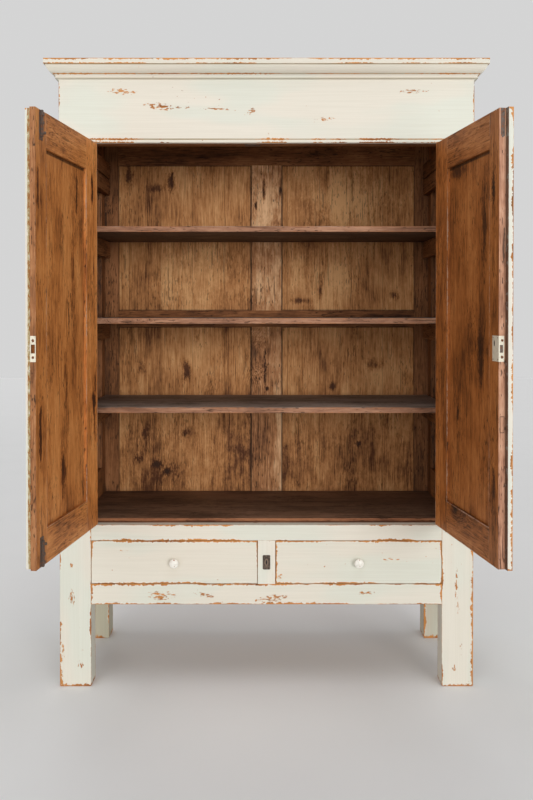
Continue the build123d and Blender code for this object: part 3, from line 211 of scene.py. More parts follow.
def make_wood_figure():
    """Grain of a flat-sawn board whose length runs along x; a Strip under 1 m parts it into staves."""
    nodes, given, out = new_group(
        "wood_figure",
        {"Vector": ORIGIN, "Seed": 0.0, "Waver": 0.02, "Knots": 0.5, "Strip": 1.0},
        ("Tone", "Flecks", "Knot", "Height"),
    )
    shift = nodes.join(given["Seed"], nodes.times(given["Seed"], 0.37), 0.0)
    place = nodes.vector("ADD", given["Vector"], shift)

    cells = nodes.vector("MULTIPLY", place, (2.6, 5.2, 5.2))
    voronoi = nodes.put("ShaderNodeTexVoronoi", {"Vector": cells, "Scale": 1.0, "Randomness": 0.9})
    chosen = nodes.above(nodes.split(voronoi.outputs["Color"])[0], nodes.minus(1.0, given["Knots"]))
    near = nodes.times(nodes.spread(voronoi.outputs["Distance"], 0.34, 0.02, smooth=True), chosen)
    core = nodes.times(nodes.spread(voronoi.outputs["Distance"], 0.085, 0.02, smooth=True), chosen)

    drift = nodes.noise(place, (1.6, 5.0, 5.0), detail=1.0)
    sway = nodes.times(nodes.minus(drift, 0.5), given["Waver"])
    turned = nodes.math("ADD", sway, nodes.times(near, 0.03))
    bent = nodes.vector("ADD", place, nodes.join(0.0, turned, turned))

    streaks = nodes.noise(bent, (2.4, 46.0, 46.0), detail=3.0, roughness=0.6)
    fibres = nodes.noise(bent, (13.0, 300.0, 300.0), detail=3.0, roughness=0.62)
    clouds = nodes.noise(place, (3.6, 7.0, 7.0), detail=5.0, roughness=0.62)
    mottle = nodes.noise(bent, (34.0, 90.0, 90.0), detail=3.0, roughness=0.6)
    dashes = nodes.noise(bent, (46.0, 230.0, 230.0), detail=1.5)
    checks = nodes.noise(bent, (7.0, 170.0, 170.0), detail=1.0)
    sparse = nodes.noise(place, (5.0, 11.0, 11.0), detail=1.0)

    stave = nodes.math("DIVIDE", nodes.split(place)[1], given["Strip"])
    number = nodes.math("FLOOR", stave)
    chance = nodes.put("ShaderNodeTexWhiteNoise", {"W": number}, noise_dimensions="1D").outputs["Value"]
    several = nodes.math("LESS_THAN", given["Strip"], 0.99)
    share = nodes.minus(stave, number)
    beside = nodes.times(nodes.least([share, nodes.minus(1.0, share)]), given["Strip"])
    seam = nodes.times(nodes.spread(beside, 1.6 * MM, 0.6 * MM), several)
    step = nodes.times(nodes.minus(chance, 0.5), several)

    tone = 0.5
    for pattern, factor in ((streaks, 0.6), (clouds, 1.3), (mottle, 0.45), (fibres, 1.0)):
        tone = nodes.swung(pattern, factor, tone)
    tone = nodes.scaled(step, 0.16, tone)
    tone = nodes.scaled(near, -0.22, tone, clamp=True)
    limit = nodes.spread(sparse, 0.35, 0.65, 0.71, 0.58)
    pores = nodes.spread(nodes.minus(dashes, limit), 0.0, 0.05)
    cracks = nodes.spread(nodes.minus(checks, nodes.math("ADD", limit, 0.05)), 0.0, 0.05)
    flecks = nodes.most(nodes.most(pores, cracks), nodes.times(seam, 0.6))

    height = nodes.scaled(fibres, 0.6, nodes.times(streaks, 0.4))
    height = nodes.scaled(flecks, -0.6, height)
    for name, value in (("Tone", tone), ("Flecks", flecks), ("Knot", core), ("Height", height)):
        nodes.feed(out[name], value)
    return nodes.tree


def make_board_edge():
    """Distance from the nearest edge of an upright block, given its low and high corners."""
    nodes, given, out = new_group(
        "board_edge",
        {"Vector": ORIGIN, "Low": ORIGIN, "High": ORIGIN},
        ("Distance",),
    )
    from_low = nodes.vector("SUBTRACT", given["Vector"], given["Low"])
    from_high = nodes.vector("SUBTRACT", given["Vector"], given["High"])
    near = nodes.vector("MINIMUM", nodes.vector("ABSOLUTE", from_low), nodes.vector("ABSOLUTE", from_high))
    before = nodes.vector("SUBTRACT", given["Low"], given["Vector"])
    outside = nodes.vector("MAXIMUM", nodes.vector("MAXIMUM", before, from_high), ORIGIN)
    near_squared = nodes.vector("MULTIPLY", near, near)
    outside_squared = nodes.vector("MULTIPLY", outside, outside)
    whole = nodes.vector("DOT_PRODUCT", near, near)
    each = nodes.vector("SUBTRACT", outside_squared, near_squared)
    x, y, z = nodes.split(each)
    squared = nodes.math("ADD", whole, nodes.least([x, y, z]))
    nodes.feed(out["Distance"], nodes.math("SQRT", nodes.most(squared, 0.0)))
    return nodes.tree


def make_worn_edge():
    """Where a coat is rubbed off along edges: Wear is bare, the second output is a painted highlight on
    the coat's lip beside it.
    """
    nodes, given, out = new_group(
        "worn_edge",
        {"Vector": ORIGIN, "Distance": 1.0, "Width": 0.004, "Cover": 0.5, "Seed": 0.0},
        ("Wear", "Highlight", "Hairline"),
    )
    place = nodes.vector("ADD", given["Vector"], nodes.join(given["Seed"], given["Seed"], given["Seed"]))
    runs = nodes.noise(place, 7.0, roughness=0.6)
    ragged = nodes.noise(place, 95.0, detail=3.0, roughness=0.65)
    low = nodes.scaled(given["Cover"], -0.34, 0.66)
    share = nodes.spread(runs, low, nodes.math("ADD", low, 0.16), 0.1, 1.0)
    reach = nodes.times(nodes.times(share, given["Width"]), nodes.spread(ragged, 0.32, 0.66, 0.1, 1.6))
    beyond = nodes.minus(given["Distance"], reach)
    soft = 0.4 * MM
    nodes.feed(out["Wear"], nodes.spread(beyond, soft, -soft))
    lip = nodes.spread(beyond, 2.2 * MM, 0.6 * MM)
    nodes.feed(out["Highlight"], nodes.times(lip, nodes.spread(share, 0.1, 0.4)))
    nodes.feed(out["Hairline"], nodes.spread(given["Distance"], 1.1 * MM, 0.5 * MM))
    return nodes.tree


def make_flaked_patch():
    """A ragged patch of flakes, long along Flow's x, round a centre; Size is its half extent each way."""
    nodes, given, out = new_group(
        "flaked_patch",
        {"Vector": ORIGIN, "Flow": ORIGIN, "Centre": ORIGIN,
         "Size": (0.05, 0.05, 0.02), "Tilt": 0.0},
        ("Patch",),
    )
    arm = nodes.vector("SUBTRACT", given["Vector"], given["Centre"])
    x, y, z = nodes.split(arm)
    arm = nodes.join(x, y, nodes.scaled(x, given["Tilt"], z))
    field = nodes.vector("LENGTH", nodes.vector("DIVIDE", arm, given["Size"]))
    flakes = nodes.noise(given["Flow"], (70.0, 120.0, 210.0), detail=3.0, roughness=0.62)
    strength = nodes.swung(flakes, 2.6, nodes.scaled(field, -0.42, 0.18))
    inside = nodes.math("LESS_THAN", field, 1.0)
    nodes.feed(out["Patch"], nodes.times(nodes.spread(strength, 0.0, 0.08), inside))
    return nodes.tree


def make_blot():
    """A soft patch round a centre, broken up along its edge; Size is its half extent each way."""
    nodes, given, out = new_group(
        "blot",
        {"Vector": ORIGIN, "Centre": ORIGIN, "Size": (0.05, 0.05, 0.05)},
        ("Mark",),
    )
    arm = nodes.vector("DIVIDE", nodes.vector("SUBTRACT", given["Vector"], given["Centre"]), given["Size"])
    coarse = nodes.noise(given["Vector"], (45.0, 45.0, 26.0))
    ragged = nodes.noise(given["Vector"], (190.0, 190.0, 90.0), detail=4.0, roughness=0.75)
    field = nodes.swung(coarse, 1.4, nodes.vector("LENGTH", arm))
    field = nodes.swung(ragged, 2.0, field)
    nodes.feed(out["Mark"], nodes.spread(field, 1.1, -0.1, smooth=True))
    return nodes.tree


WOOD_FIGURE = make_wood_figure()
BLOT = make_blot()
BOARD_EDGE = make_board_edge()
WORN_EDGE = make_worn_edge()
FLAKED_PATCH = make_flaked_patch()


# ------------------------------------------------------------------ coordinates


class Place:
    """Where a piece's patterns are drawn: the row frame, or a door's own frame along its leaf."""

    def __init__(self, origin=ORIGIN, turn=0.0):
        self.origin = Vector(origin)
        self.turn = turn
        self.to_local = (Matrix.Translation(self.origin) @ Matrix.Rotation(turn, 4, "Z")).inverted()

    def coordinates(self, nodes):
        source = nodes.put("ShaderNodeTexCoord", {}).outputs["Object"]
        inputs = {"Vector": source, "Location": tuple(self.origin), "Rotation": (0.0, 0.0, self.turn)}
        return nodes.put("ShaderNodeMapping", inputs, vector_type="TEXTURE").outputs[0]

    def in_row(self, point):
        """A point given in this frame, in the row frame."""
        return tuple(self.to_local.inverted() @ Vector(point))


ROW = Place()


def leaf_place(side):
    """A door's frame: x from its hinge line along the leaf, y through it, z up."""
    joint = JOINTS[f"{side}_door_hinge"]
    hinge = joint["pos_m"]
    opened = math.radians(-joint["range_deg"][0])
    turn = -opened if side == "left" else opened - math.pi
    return Place((hinge[0], hinge[1], 0.0), turn)


LEAF = {side: leaf_place(side) for side in SIDES}


def boards(node, place=ROW):
    """The (low, high) corners of each separate board in a CAD node, in the place's frame."""
    mesh = frame["nodes"][node].data
    corners = [place.to_local @ vertex.co for vertex in mesh.vertices]
    keys = [tuple(round(value * 1e5) for value in corner) for corner in corners]
    parent = {key: key for key in keys}

    def root(key):
        while parent[key] != key:
            parent[key] = parent[parent[key]]
            key = parent[key]
        return key

    for polygon in mesh.polygons:
        first, *rest = (root(keys[index]) for index in polygon.vertices)
        for other in rest:
            parent[root(other)] = first
    found = {}
    for corner, key in zip(corners, keys):
        low, high = found.setdefault(root(key), (corner.copy(), corner.copy()))
        for axis in range(3):
            low[axis] = min(low[axis], corner[axis])
            high[axis] = max(high[axis], corner[axis])
    return sorted(((tuple(low), tuple(high)) for low, high in found.values()))


ALONG = {"X": (0, 1, 2), "Y": (1, 0, 2), "Z": (2, 0, 1)}


def grain_vector(nodes, place_vector, along):
    """Coordinates turned so that x runs along the grain."""
    parts = nodes.split(place_vector)
    return nodes.join(*(parts[index] for index in ALONG[along]))


def edge_distance(nodes, vector, blocks):
    """Distance from the nearest edge of several blocks."""
    return nodes.least([nodes.group(BOARD_EDGE, vector=vector, low=low, high=high)[0]
                        for low, high in blocks])


def segment(low, high):
    """An arris as a block with no thickness, from one end to the other."""
    return (tuple(low), tuple(high))


def face_marks(y, depth, rows):
    """Marks on an upright face at y; a row is x, z, half the width and height, and the last value."""
    return [((x, y, z), (half_x, depth, half_z), last) for x, z, half_x, half_z, last in rows]


# ------------------------------------------------------------------ materials
DRY_WOOD_SHEEN = 0.2
PAINT_RELIEF = 0.35 * MM
WOOD_RELIEF = 0.4 * MM
IRON_RELIEF = 0.25 * MM
METAL_PAINT_RELIEF = 0.2 * MM


def new_material(name):
    material = bpy.data.materials.new(name)
    material.use_nodes = True
    nodes = Nodes(material.node_tree)
    shader = material.node_tree.nodes["Principled BSDF"]
    return material, nodes, shader


def wood_material(name, place, along):
    """A material of dry wood, with its pattern's coordinates and those along its grain."""
    material, nodes, shader = new_material(name)
    shader.inputs["Specular IOR Level"].default_value = DRY_WOOD_SHEEN
    vector = place.coordinates(nodes)
    return material, nodes, shader, vector, grain_vector(nodes, vector, along)


def wood_colour(nodes, tone, tones):
    """The colour of a tone from 0 to 1 between dark, middle and light wood."""
    return nodes.ramp(tone, list(zip((0.12, 0.48, 0.86), tones)))


def finish(nodes, shader, colour, roughness, height, depth):
    """Feeds a surface's colour, roughness and relief, the relief's depth in metres, to its shader."""
    nodes.feed(shader.inputs["Base Color"], colour)
    nodes.feed(shader.inputs["Roughness"], roughness)
    inputs = {"Height": height, "Distance": depth, "Strength": 1.0}
    nodes.feed(shader.inputs["Normal"], nodes.put("ShaderNodeBump", inputs).outputs[0])


def paint_layer(nodes, vector, grain, blocks, width=0.004, cover=0.5, rubbed=(), patches=(), seed=0.0,
                grime=0.0, creases=(), joints=(), upright=False):
    """Old brushed paint over pine: its colour, where it is lost, and its height.

    Its blocks' edges are worn, and those of the rubbed ones more, with a painted highlight beside the
    wear; painted shade lies in the creases, and the paint has cracked along the joints.
    """
    zones = nodes.noise(grain, (2.2, 7.0, 7.0))
    warmth = nodes.noise(grain, (3.1, 5.0, 5.0))
    brush = nodes.noise(grain, (5.0, 240.0, 240.0))
    coat = nodes.mix(nodes.spread(zones, 0.46, 0.6, 0.0, 0.85, smooth=True), CREAM, MINT)
    coat = nodes.mix(nodes.spread(warmth, 0.5, 0.64, 0.0, 0.4, smooth=True), coat, BLUSH)
    # the brush marks darken by the piece's own amount: dirt, and on the rear posts painted shade as well
    coat = nodes.mix(nodes.spread(brush, 0.35, 0.65, grime, grime + 0.06), coat, PAINT_DIRT_AND_SHADE)

    figure = nodes.group(WOOD_FIGURE, vector=grain, seed=seed)
    bare = nodes.ramp(figure["Tone"], [(0.15, BARE_DARK), (0.6, BARE_LIGHT)])
    bare = nodes.mix(nodes.times(figure["Flecks"], 0.5), bare, GAP_DARK)

    distance = edge_distance(nodes, vector, blocks)
    wear = nodes.group(WORN_EDGE, vector=vector, distance=distance, width=width, cover=cover, seed=seed)
    lost, rim = wear["Wear"], wear["Highlight"]
    if rubbed:
        near = edge_distance(nodes, vector, rubbed)
        worst = nodes.group(WORN_EDGE, vector=vector, distance=near, width=1.3 * width, cover=1.0,
                            seed=seed + 0.5)
        lost = nodes.most(lost, worst["Wear"])
    x, y, z = nodes.split(vector)[:3]
    flow = nodes.join(z, y, x) if upright else vector
    for centre, size, tilt in face_marks(FRONT_Y, PATCH_DEPTH, patches):
        patch = nodes.group(FLAKED_PATCH, vector=vector, flow=flow, centre=centre, size=size, tilt=tilt)[0]
        lost = nodes.most(lost, patch)
    specks = nodes.noise(grain, (90.0, 160.0, 160.0), detail=1.0)
    dense = nodes.noise(grain, (3.5, 6.0, 6.0), detail=1.0)
    limit = nodes.spread(dense, 0.4, 0.7, 0.86, 0.76)
    lost = nodes.most(lost, nodes.spread(nodes.minus(specks, limit), 0.0, 0.02))

    # painted highlight along the coat's lip beside its worn edges
    coat = nodes.mix(nodes.times(rim, 0.55), coat, PAINT_HIGHLIGHT)
    # painted shade in the creases
    if creases:
        depth = nodes.spread(edge_distance(nodes, vector, creases), 4.0 * MM, 0.0, smooth=True)
        depth = nodes.times(depth, nodes.spread(warmth, 0.4, 0.6, 0.95, 0.6))
        coat = nodes.mix(depth, coat, PAINT_DIRT_AND_SHADE)
    if joints:
        gap = nodes.group(WORN_EDGE, vector=vector, distance=edge_distance(nodes, vector, joints))
        coat = nodes.mix(nodes.times(gap["Hairline"], 0.7), coat, PAINT_DIRT_AND_SHADE)
    height = nodes.scaled(brush, 0.12, nodes.times(lost, -1.0))
    height = nodes.scaled(figure["Height"], 0.25, height)
    return nodes.mix(lost, coat, bare), lost, height


def stain_layer(nodes, vector, grain, tones, blocks=(), seed=0.0, knots=0.5, edge_tone=None,
                edge_width=0.003, edge_share=0.7, strip=1.0, blots=(), creases=(), flecks=0.7):
    """Old stained pine; tones are dark, middle and light, the arrises are rubbed to the edge tone, which
    on the doors is also a painted highlight.

    Each blot is the place and size of a dark mark, and how dark it is, a depth below 0 making it lighter:
    small ones are stains, broad dark ones painted shade and broad light ones painted light. Painted shade
    lies in the creases and in the corners.
    """
    figure = nodes.group(WOOD_FIGURE, vector=grain, seed=seed, knots=knots, strip=strip)
    tone = figure["Tone"]
    for centre, size, depth in blots:
        blot_mask = nodes.group(BLOT, vector=vector, centre=centre, size=size)[0]
        tone = nodes.scaled(blot_mask, -depth, tone)
    colour = wood_colour(nodes, tone, tones)
    if blots:
        colour = nodes.mix(nodes.spread(tone, 0.1, -0.35, 0.0, 0.75), colour, GAP_DARK)
    colour = nodes.mix(nodes.times(figure["Flecks"], flecks), colour, GAP_DARK)
    colour = nodes.mix(nodes.times(figure["Knot"], 0.85), colour, GAP_DARK)
    if blocks:
        distance = edge_distance(nodes, vector, blocks)
        wear = nodes.group(WORN_EDGE, vector=vector, distance=distance, width=edge_width, cover=0.6,
                           seed=seed)
        colour = nodes.mix(nodes.times(wear["Wear"], edge_share), colour, edge_tone or tones[-1])
    # painted shade along the creases
    if creases:
        depth = nodes.spread(edge_distance(nodes, vector, creases), 5.0 * MM, 0.5 * MM, smooth=True)
        depth = nodes.times(depth, nodes.spread(figure["Tone"], 0.2, 0.8, 1.0, 0.65))
        colour = nodes.mix(depth, colour, GAP_DARK)
    # painted shade in the corners, from ambient occlusion
    corner_shade = nodes.put("ShaderNodeAmbientOcclusion", {"Distance": 0.03}, samples=6).outputs["AO"]
    colour = nodes.mix(nodes.spread(corner_shade, 0.7, 0.2, 0.0, 0.5), colour, tones[0])
    return colour, figure["Height"]


def facing(nodes, direction):
    """1 on faces that look along the direction."""
    normal = nodes.put("ShaderNodeNewGeometry", {}).outputs["True Normal"]
    return nodes.above(nodes.vector("DOT_PRODUCT", normal, direction), 0.5)


def inside_case(nodes, vector, front):
    """1 within the case's walls, from a depth behind its front on, above its lower rails."""
    x, y, z = nodes.split(vector)[:3]
    room = nodes.least([
        nodes.minus(PANEL_MIDDLE, nodes.math("ABSOLUTE", x)),
        nodes.minus(y, FRONT_Y + front),
        nodes.minus(BACK_Y, y),
        nodes.minus(z, LEG_TOP + MM),
    ])
    return nodes.above(room, 0.0)


def paint_node(node, along, blocks, bare_from=None, inside_tones=None, inside_along="Z", **coat):
    """Paints a node; within the case, from a depth behind its front on, it is stained wood."""
    material, nodes, shader, vector, grain = wood_material(f"{node}_paint", ROW, along)
    colour, lost, height = paint_layer(nodes, vector, grain, blocks, upright=along == "Z", **coat)
    if bare_from is not None:
        mask = inside_case(nodes, vector, bare_from)
        inner_grain = grain_vector(nodes, vector, inside_along)
        inner, relief = stain_layer(nodes, vector, inner_grain, inside_tones or WALL_TONES,
                                    seed=coat.get("seed", 0.0) + 0.3)
        colour = nodes.mix(mask, colour, inner)
        height = nodes.scaled(nodes.minus(relief, height), mask, height)
    finish(nodes, shader, colour, nodes.spread(lost, 0.0, 1.0, 0.52, 0.72), height, PAINT_RELIEF)
    dress(node, material)


def stain_node(node, along, tones, tops=None, under=None, **wood):
    """Stains a node; tops and under give other tones for the faces that look up and down: painted sheen
    and shade on the tops, painted shade underneath.
    """
    material, nodes, shader, vector, grain = wood_material(f"{node}_wood", ROW, along)
    colour, height = stain_layer(nodes, vector, grain, tones, **wood)
    for other, sign in ((tops, 1.0), (under, -1.0)):
        if other:
            turned_face, _ = stain_layer(nodes, vector, grain, other, **wood)
            colour = nodes.mix(facing(nodes, (0.0, 0.0, sign)), colour, turned_face)
    finish(nodes, shader, colour, nodes.spread(height, 0.2, 0.8, 0.72, 0.5), height, WOOD_RELIEF)
    dress(node, material)


def spotted(nodes, vector, colour, spots):
    """Colours spots, each given by its centre, half extents and tone."""
    for centre, reach, tone in spots:
        arm = nodes.vector("DIVIDE", nodes.vector("SUBTRACT", vector, centre), reach)
        inside = nodes.spread(nodes.vector("LENGTH", arm), 1.1, 0.9)
        colour = nodes.mix(inside, colour, tone)
    return colour


def old_iron(name, tone, rust, metallic, roughness=0.55, spots=()):
    """Dark hand-worked iron with rust, and spots of another tone."""
    material, nodes, shader = new_material(name)
    vector = ROW.coordinates(nodes)
    pitting = nodes.noise(vector, 160.0, detail=4.0, roughness=0.65)
    fine = nodes.noise(vector, 600.0)
    rusty = nodes.spread(pitting, 0.5, 0.62)
    nodes.feed(shader.inputs["Metallic"], nodes.spread(rusty, 0.0, 1.0, metallic, 0.1))
    finish(nodes, shader, spotted(nodes, vector, nodes.mix(rusty, tone, rust), spots),
           nodes.spread(pitting, 0.3, 0.7, roughness - 0.12, roughness + 0.2),
           nodes.scaled(fine, 0.3, pitting), IRON_RELIEF)
    return material


def dress(node, material):
    """Gives a CAD node its material."""
    slots = frame["nodes"][node].material_slots
    if slots:
        for slot in slots:
            slot.material = material
    else:
        frame["nodes"][node].data.materials.append(material)


# ------------------------------------------------------------------ outside: painted pieces
PATCH_DEPTH = 20 * MM
# flaked patches on the front: x, z, half the width and height, and the tilt
RAIL_PATCHES = (
    (-0.339, 0.291, 0.050, 0.016, 0.0),
    (-0.196, 0.293, 0.040, 0.009, 0.15),
    (0.019, 0.281, 0.056, 0.012, -0.12),
    (0.313, 0.300, 0.034, 0.006, 0.0),
)
LEG_PATCHES = {
    "left": (
        (-0.622, 0.282, 0.010, 0.034, 0.0),
        (-0.622, 0.384, 0.006, 0.012, 0.0),
        (-0.596, 0.070, 0.012, 0.014, 0.0),
        (-0.650, 0.110, 0.006, 0.026, 0.0),
        (-0.648, 0.455, 0.007, 0.016, 0.0),
    ),
    "right": (
        (0.606, 0.330, 0.005, 0.060, 0.0),
        (0.612, 0.250, 0.006, 0.022, 0.0),
        (0.622, 0.120, 0.005, 0.020, 0.0),
        (0.600, 0.060, 0.008, 0.010, 0.0),
    ),
}
DRAWER_PATCHES = {
    "left": ((-0.455, 0.435, 0.014, 0.004, 0.0),),
    "right": ((0.395, 0.407, 0.030, 0.004, 0.0),
              (0.042, 0.352, 0.010, 0.014, 0.0)),
}
FRIEZE_PATCHES = (
    (-0.458, 1.895, 0.050, 0.010, 0.06),
    (-0.340, 1.848, 0.052, 0.012, 0.14),
    (-0.266, 1.845, 0.034, 0.004, 0.0),
    (-0.154, 1.840, 0.058, 0.006, 0.06),
    (-0.046, 1.834, 0.016, 0.010, -0.5),
    (0.463, 1.895, 0.048, 0.008, -0.04),
    (0.186, 1.808, 0.034, 0.006, 0.0),
)
PANEL_MIDDLE = (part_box("right_side_panels")[0].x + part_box("right_side_panels")[1].x) / 2
BACK_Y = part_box("back_stiles")[1].y - MM
JAMB = POST_INNER + 15 * MM
RABBET_DEPTH = 36 * MM
PAINTED_EDGE = 4 * MM
FRIEZE_THICKNESS = 24.5 * MM
BEAD_QUIRK = 11 * MM
RUBBED_TO = {"left": 0.2, "right": 0.5}
# how far each line of the cornice stands out and down
CORNICE_ARRISES = ((40 * MM, 0.0), (40 * MM, 17 * MM), (14 * MM, 43 * MM))
# the cornice's creases, which get painted shade
CORNICE_CREASES = ((35 * MM, 17 * MM), (14 * MM, 43 * MM), (9 * MM, 57 * MM))


def shown_box(node, x=None):
    """A node's box, cut off where its tenons enter its neighbours."""
    low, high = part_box(node)
    if x:
        low.x, high.x = x
    return (tuple(low), tuple(high))


def cornice_lines(places):
    """Arrises or creases that run round the cornice, each given by how far it stands out and down."""
    lines = []
    for out, down in places:
        reach, front, z = CASE_HALF + out, FRONT_Y - out, CORNICE_TOP - down
        lines.append(segment((-reach, front, z), (reach, front, z)))
        for sign in SIDES.values():
            lines.append(segment((sign * reach, front, z), (sign * reach, 1.0, z)))
    return lines


def dress_outside():
    between = (-POST_INNER, POST_INNER)
    frieze = shown_box("frieze_board")
    quirk_z = frieze[0][2] + BEAD_QUIRK
    bead_top = segment((-CASE_HALF, FRONT_Y, quirk_z), (CASE_HALF, FRONT_Y, quirk_z))
    # painted shade in the crease over the bead
    paint_node("frieze_board", "X", [frieze, bead_top], bare_from=FRIEZE_THICKNESS, inside_along="X",
               width=0.0034, cover=0.7, patches=FRIEZE_PATCHES, creases=[bead_top], seed=1.0)
    for index, node in enumerate(("upper_drawer_rail", "lower_drawer_rail")):
        box = shown_box(node, between)
        joints = [segment((x, FRONT_Y, box[0][2]), (x, FRONT_Y, box[1][2])) for x in between]
        paint_node(node, "X", [box], bare_from=RABBET_DEPTH, inside_along="X", width=0.005,
                   cover=0.6 + 0.2 * index, patches=RAIL_PATCHES if index else (), joints=joints,
                   seed=2.3 + index, grime=0.07)
    paint_node("drawer_divider", "Z", [shown_box("drawer_divider")], bare_from=PAINTED_EDGE,
               inside_tones=RAW_TONES, width=0.003, cover=0.3, seed=4.1)
    for side, sign in SIDES.items():
        for row, node in enumerate((f"front_{side}_post", f"rear_{side}_post")):
            low, high = shown_box(node)
            rubbed = [(low, (high[0], high[1], low[2]))]
            arrises = [(low, high)]
            if row == 0:
                jamb, outer = sign * JAMB, sign * CASE_HALF
                arrises.append(segment((jamb, FRONT_Y, DOOR_SILL), (jamb, FRONT_Y, DOOR_HEAD)))
                rubbed.append(segment((outer, FRONT_Y, 0.0), (outer, FRONT_Y, RUBBED_TO[side])))
            # the rear posts' coat is darkened much more than the front ones': dirt, and painted shade,
            # most on the left
            paint_node(node, "Z", arrises, bare_from=RABBET_DEPTH, rubbed=rubbed,
                       patches=() if row else LEG_PATCHES[side], width=0.005 + 0.002 * row,
                       cover=0.55 + 0.3 * row, seed=5.0 + sign + 3 * row,
                       grime=0.05 + row * (0.45 - 0.1 * sign))
        rails, panels = f"{side}_side_rails", f"{side}_side_panels"
        paint_node(rails, "Y", boards(rails), bare_from=RABBET_DEPTH, inside_along="Y", width=0.003,
                   cover=0.4, seed=10.0 + sign)
        paint_node(panels, "Z", boards(panels), bare_from=RABBET_DEPTH, width=0.002, cover=0.3,
                   seed=12.0 + sign)
        front = f"{side}_drawer_front"
        paint_node(front, "X", [shown_box(front)], bare_from=PAINTED_EDGE, inside_tones=RAW_TONES,
                   inside_along="X", patches=DRAWER_PATCHES[side], width=0.0042, cover=0.85,
                   seed=14.0 + sign, grime=0.08)
    arrises, rubbed, creases = (cornice_lines(places) for places in
                                (CORNICE_ARRISES, CORNICE_ARRISES[:1], CORNICE_CREASES))
    for index, (node, along) in enumerate((("cornice_front", "X"), ("cornice_left", "Y"),
                                           ("cornice_right", "Y"))):
        # painted shade in the cornice's creases
        paint_node(node, along, arrises, width=0.0034, cover=0.7, rubbed=rubbed, creases=creases,
                   seed=17.0 + index, grime=0.08)


# ------------------------------------------------------------------ inside: stained pieces
BACK_TONES = (tint(98, 56, 28), tint(190, 130, 77), tint(228, 174, 118))
MUNTIN_TONES = (tint(84, 48, 26), tint(186, 128, 82), tint(242, 196, 148))
RAIL_TONES = (tint(64, 36, 18), tint(138, 86, 48), tint(178, 120, 74))
WALL_TONES = (tint(52, 30, 17), tint(132, 84, 48), tint(170, 114, 72))
SHELF_TONES = (tint(98, 64, 46), tint(154, 111, 85), tint(190, 144, 114))
# greyer, darker shelf tops: painted sheen and shade
SHELF_TOP_SHEEN_TONES = (tint(78, 66, 58), tint(140, 124, 114), tint(172, 154, 142))
# darker shelf undersides: painted shade
SHADED_UNDER_TONES = (tint(44, 31, 24), tint(88, 64, 49), tint(118, 90, 70))
FLOOR_TONES = (tint(90, 50, 30), tint(150, 98, 66), tint(184, 126, 86))
# greyer, darker floor top: painted sheen and shade
FLOOR_TOP_SHEEN_TONES = (tint(60, 41, 31), tint(114, 85, 66), tint(144, 110, 88))
# the left leaf's tones are lighter than the right's: painted light on the left leaf, painted shade on the
# right
LEFT_DOOR_LIT_TONES = (tint(98, 50, 20), tint(193, 121, 61), tint(226, 157, 92))
RIGHT_DOOR_SHADED_TONES = (tint(80, 43, 19), tint(166, 99, 47), tint(202, 134, 76))
HINGE_STILE_LIFT = 1.22
RAW_TONES = (tint(150, 112, 76), tint(190, 152, 110), tint(214, 182, 142))
WORN_EDGE_TONE = tint(176, 120, 82)
BACK_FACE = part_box("back_stiles")[0].y
BACK_BLOT_DEPTH = 0.1
# stains on the back, and broad painted shade and light: x, z, half the width and height, and how dark, or
# light where below 0
BACK_STAINS_AND_SHADING = (
    (-0.512, 1.700, 0.022, 0.060, 0.6),
    (-0.352, 1.678, 0.018, 0.060, 0.8),
    (-0.410, 1.655, 0.050, 0.020, 0.4),
    (-0.564, 1.270, 0.020, 0.060, 0.5),
    (-0.463, 0.980, 0.020, 0.040, 0.4),
    (-0.300, 0.978, 0.020, 0.050, 0.6),
    (-0.259, 1.106, 0.016, 0.040, 0.4),
    (-0.408, 0.626, 0.026, 0.022, 0.9),
    (-0.374, 0.600, 0.020, 0.018, 0.8),
    (-0.478, 0.652, 0.022, 0.024, 0.5),
    (-0.452, 0.745, 0.018, 0.030, 0.4),
    (-0.303, 0.749, 0.018, 0.026, 0.4),
    (0.222, 1.684, 0.014, 0.060, 0.5),
    (0.199, 1.278, 0.016, 0.060, 0.7),
    (0.125, 1.238, 0.060, 0.016, 0.5),
    (0.475, 1.255, 0.022, 0.022, 0.5),
    (0.405, 0.998, 0.050, 0.034, 0.4),
    (0.244, 0.916, 0.016, 0.022, 0.5),
    (0.344, 0.704, 0.014, 0.014, 0.7),
    # broad painted shade over the lowest bay, and painted light over the upper bays
    (-0.330, 0.650, 0.420, 0.180, 0.24),
    (0.330, 0.650, 0.420, 0.180, 0.20),
    (-0.250, 1.330, 0.180, 0.160, -0.24),
    (0.300, 1.620, 0.200, 0.140, -0.34),
    (0.200, 1.330, 0.140, 0.150, -0.24),
)
MUNTIN_STAINS_AND_LIGHT = (
    (-0.010, 1.650, 0.007, 0.070, 0.8),
    (-0.039, 1.590, 0.006, 0.022, 0.9),
    (0.052, 1.645, 0.006, 0.020, 0.8),
    (-0.006, 0.990, 0.006, 0.090, 0.8),
    (0.002, 0.909, 0.008, 0.010, 0.9),
    # broad painted light on the muntin in the upper bays
    (0.004, 1.600, 0.120, 0.190, -0.24),
    (0.004, 1.290, 0.120, 0.120, -0.16),
)


def flattened(blocks, y):
    """Blocks pressed flat against the plane at y, so that only their outlines there count."""
    return [((low[0], y, low[2]), (high[0], y, high[2])) for low, high in blocks]


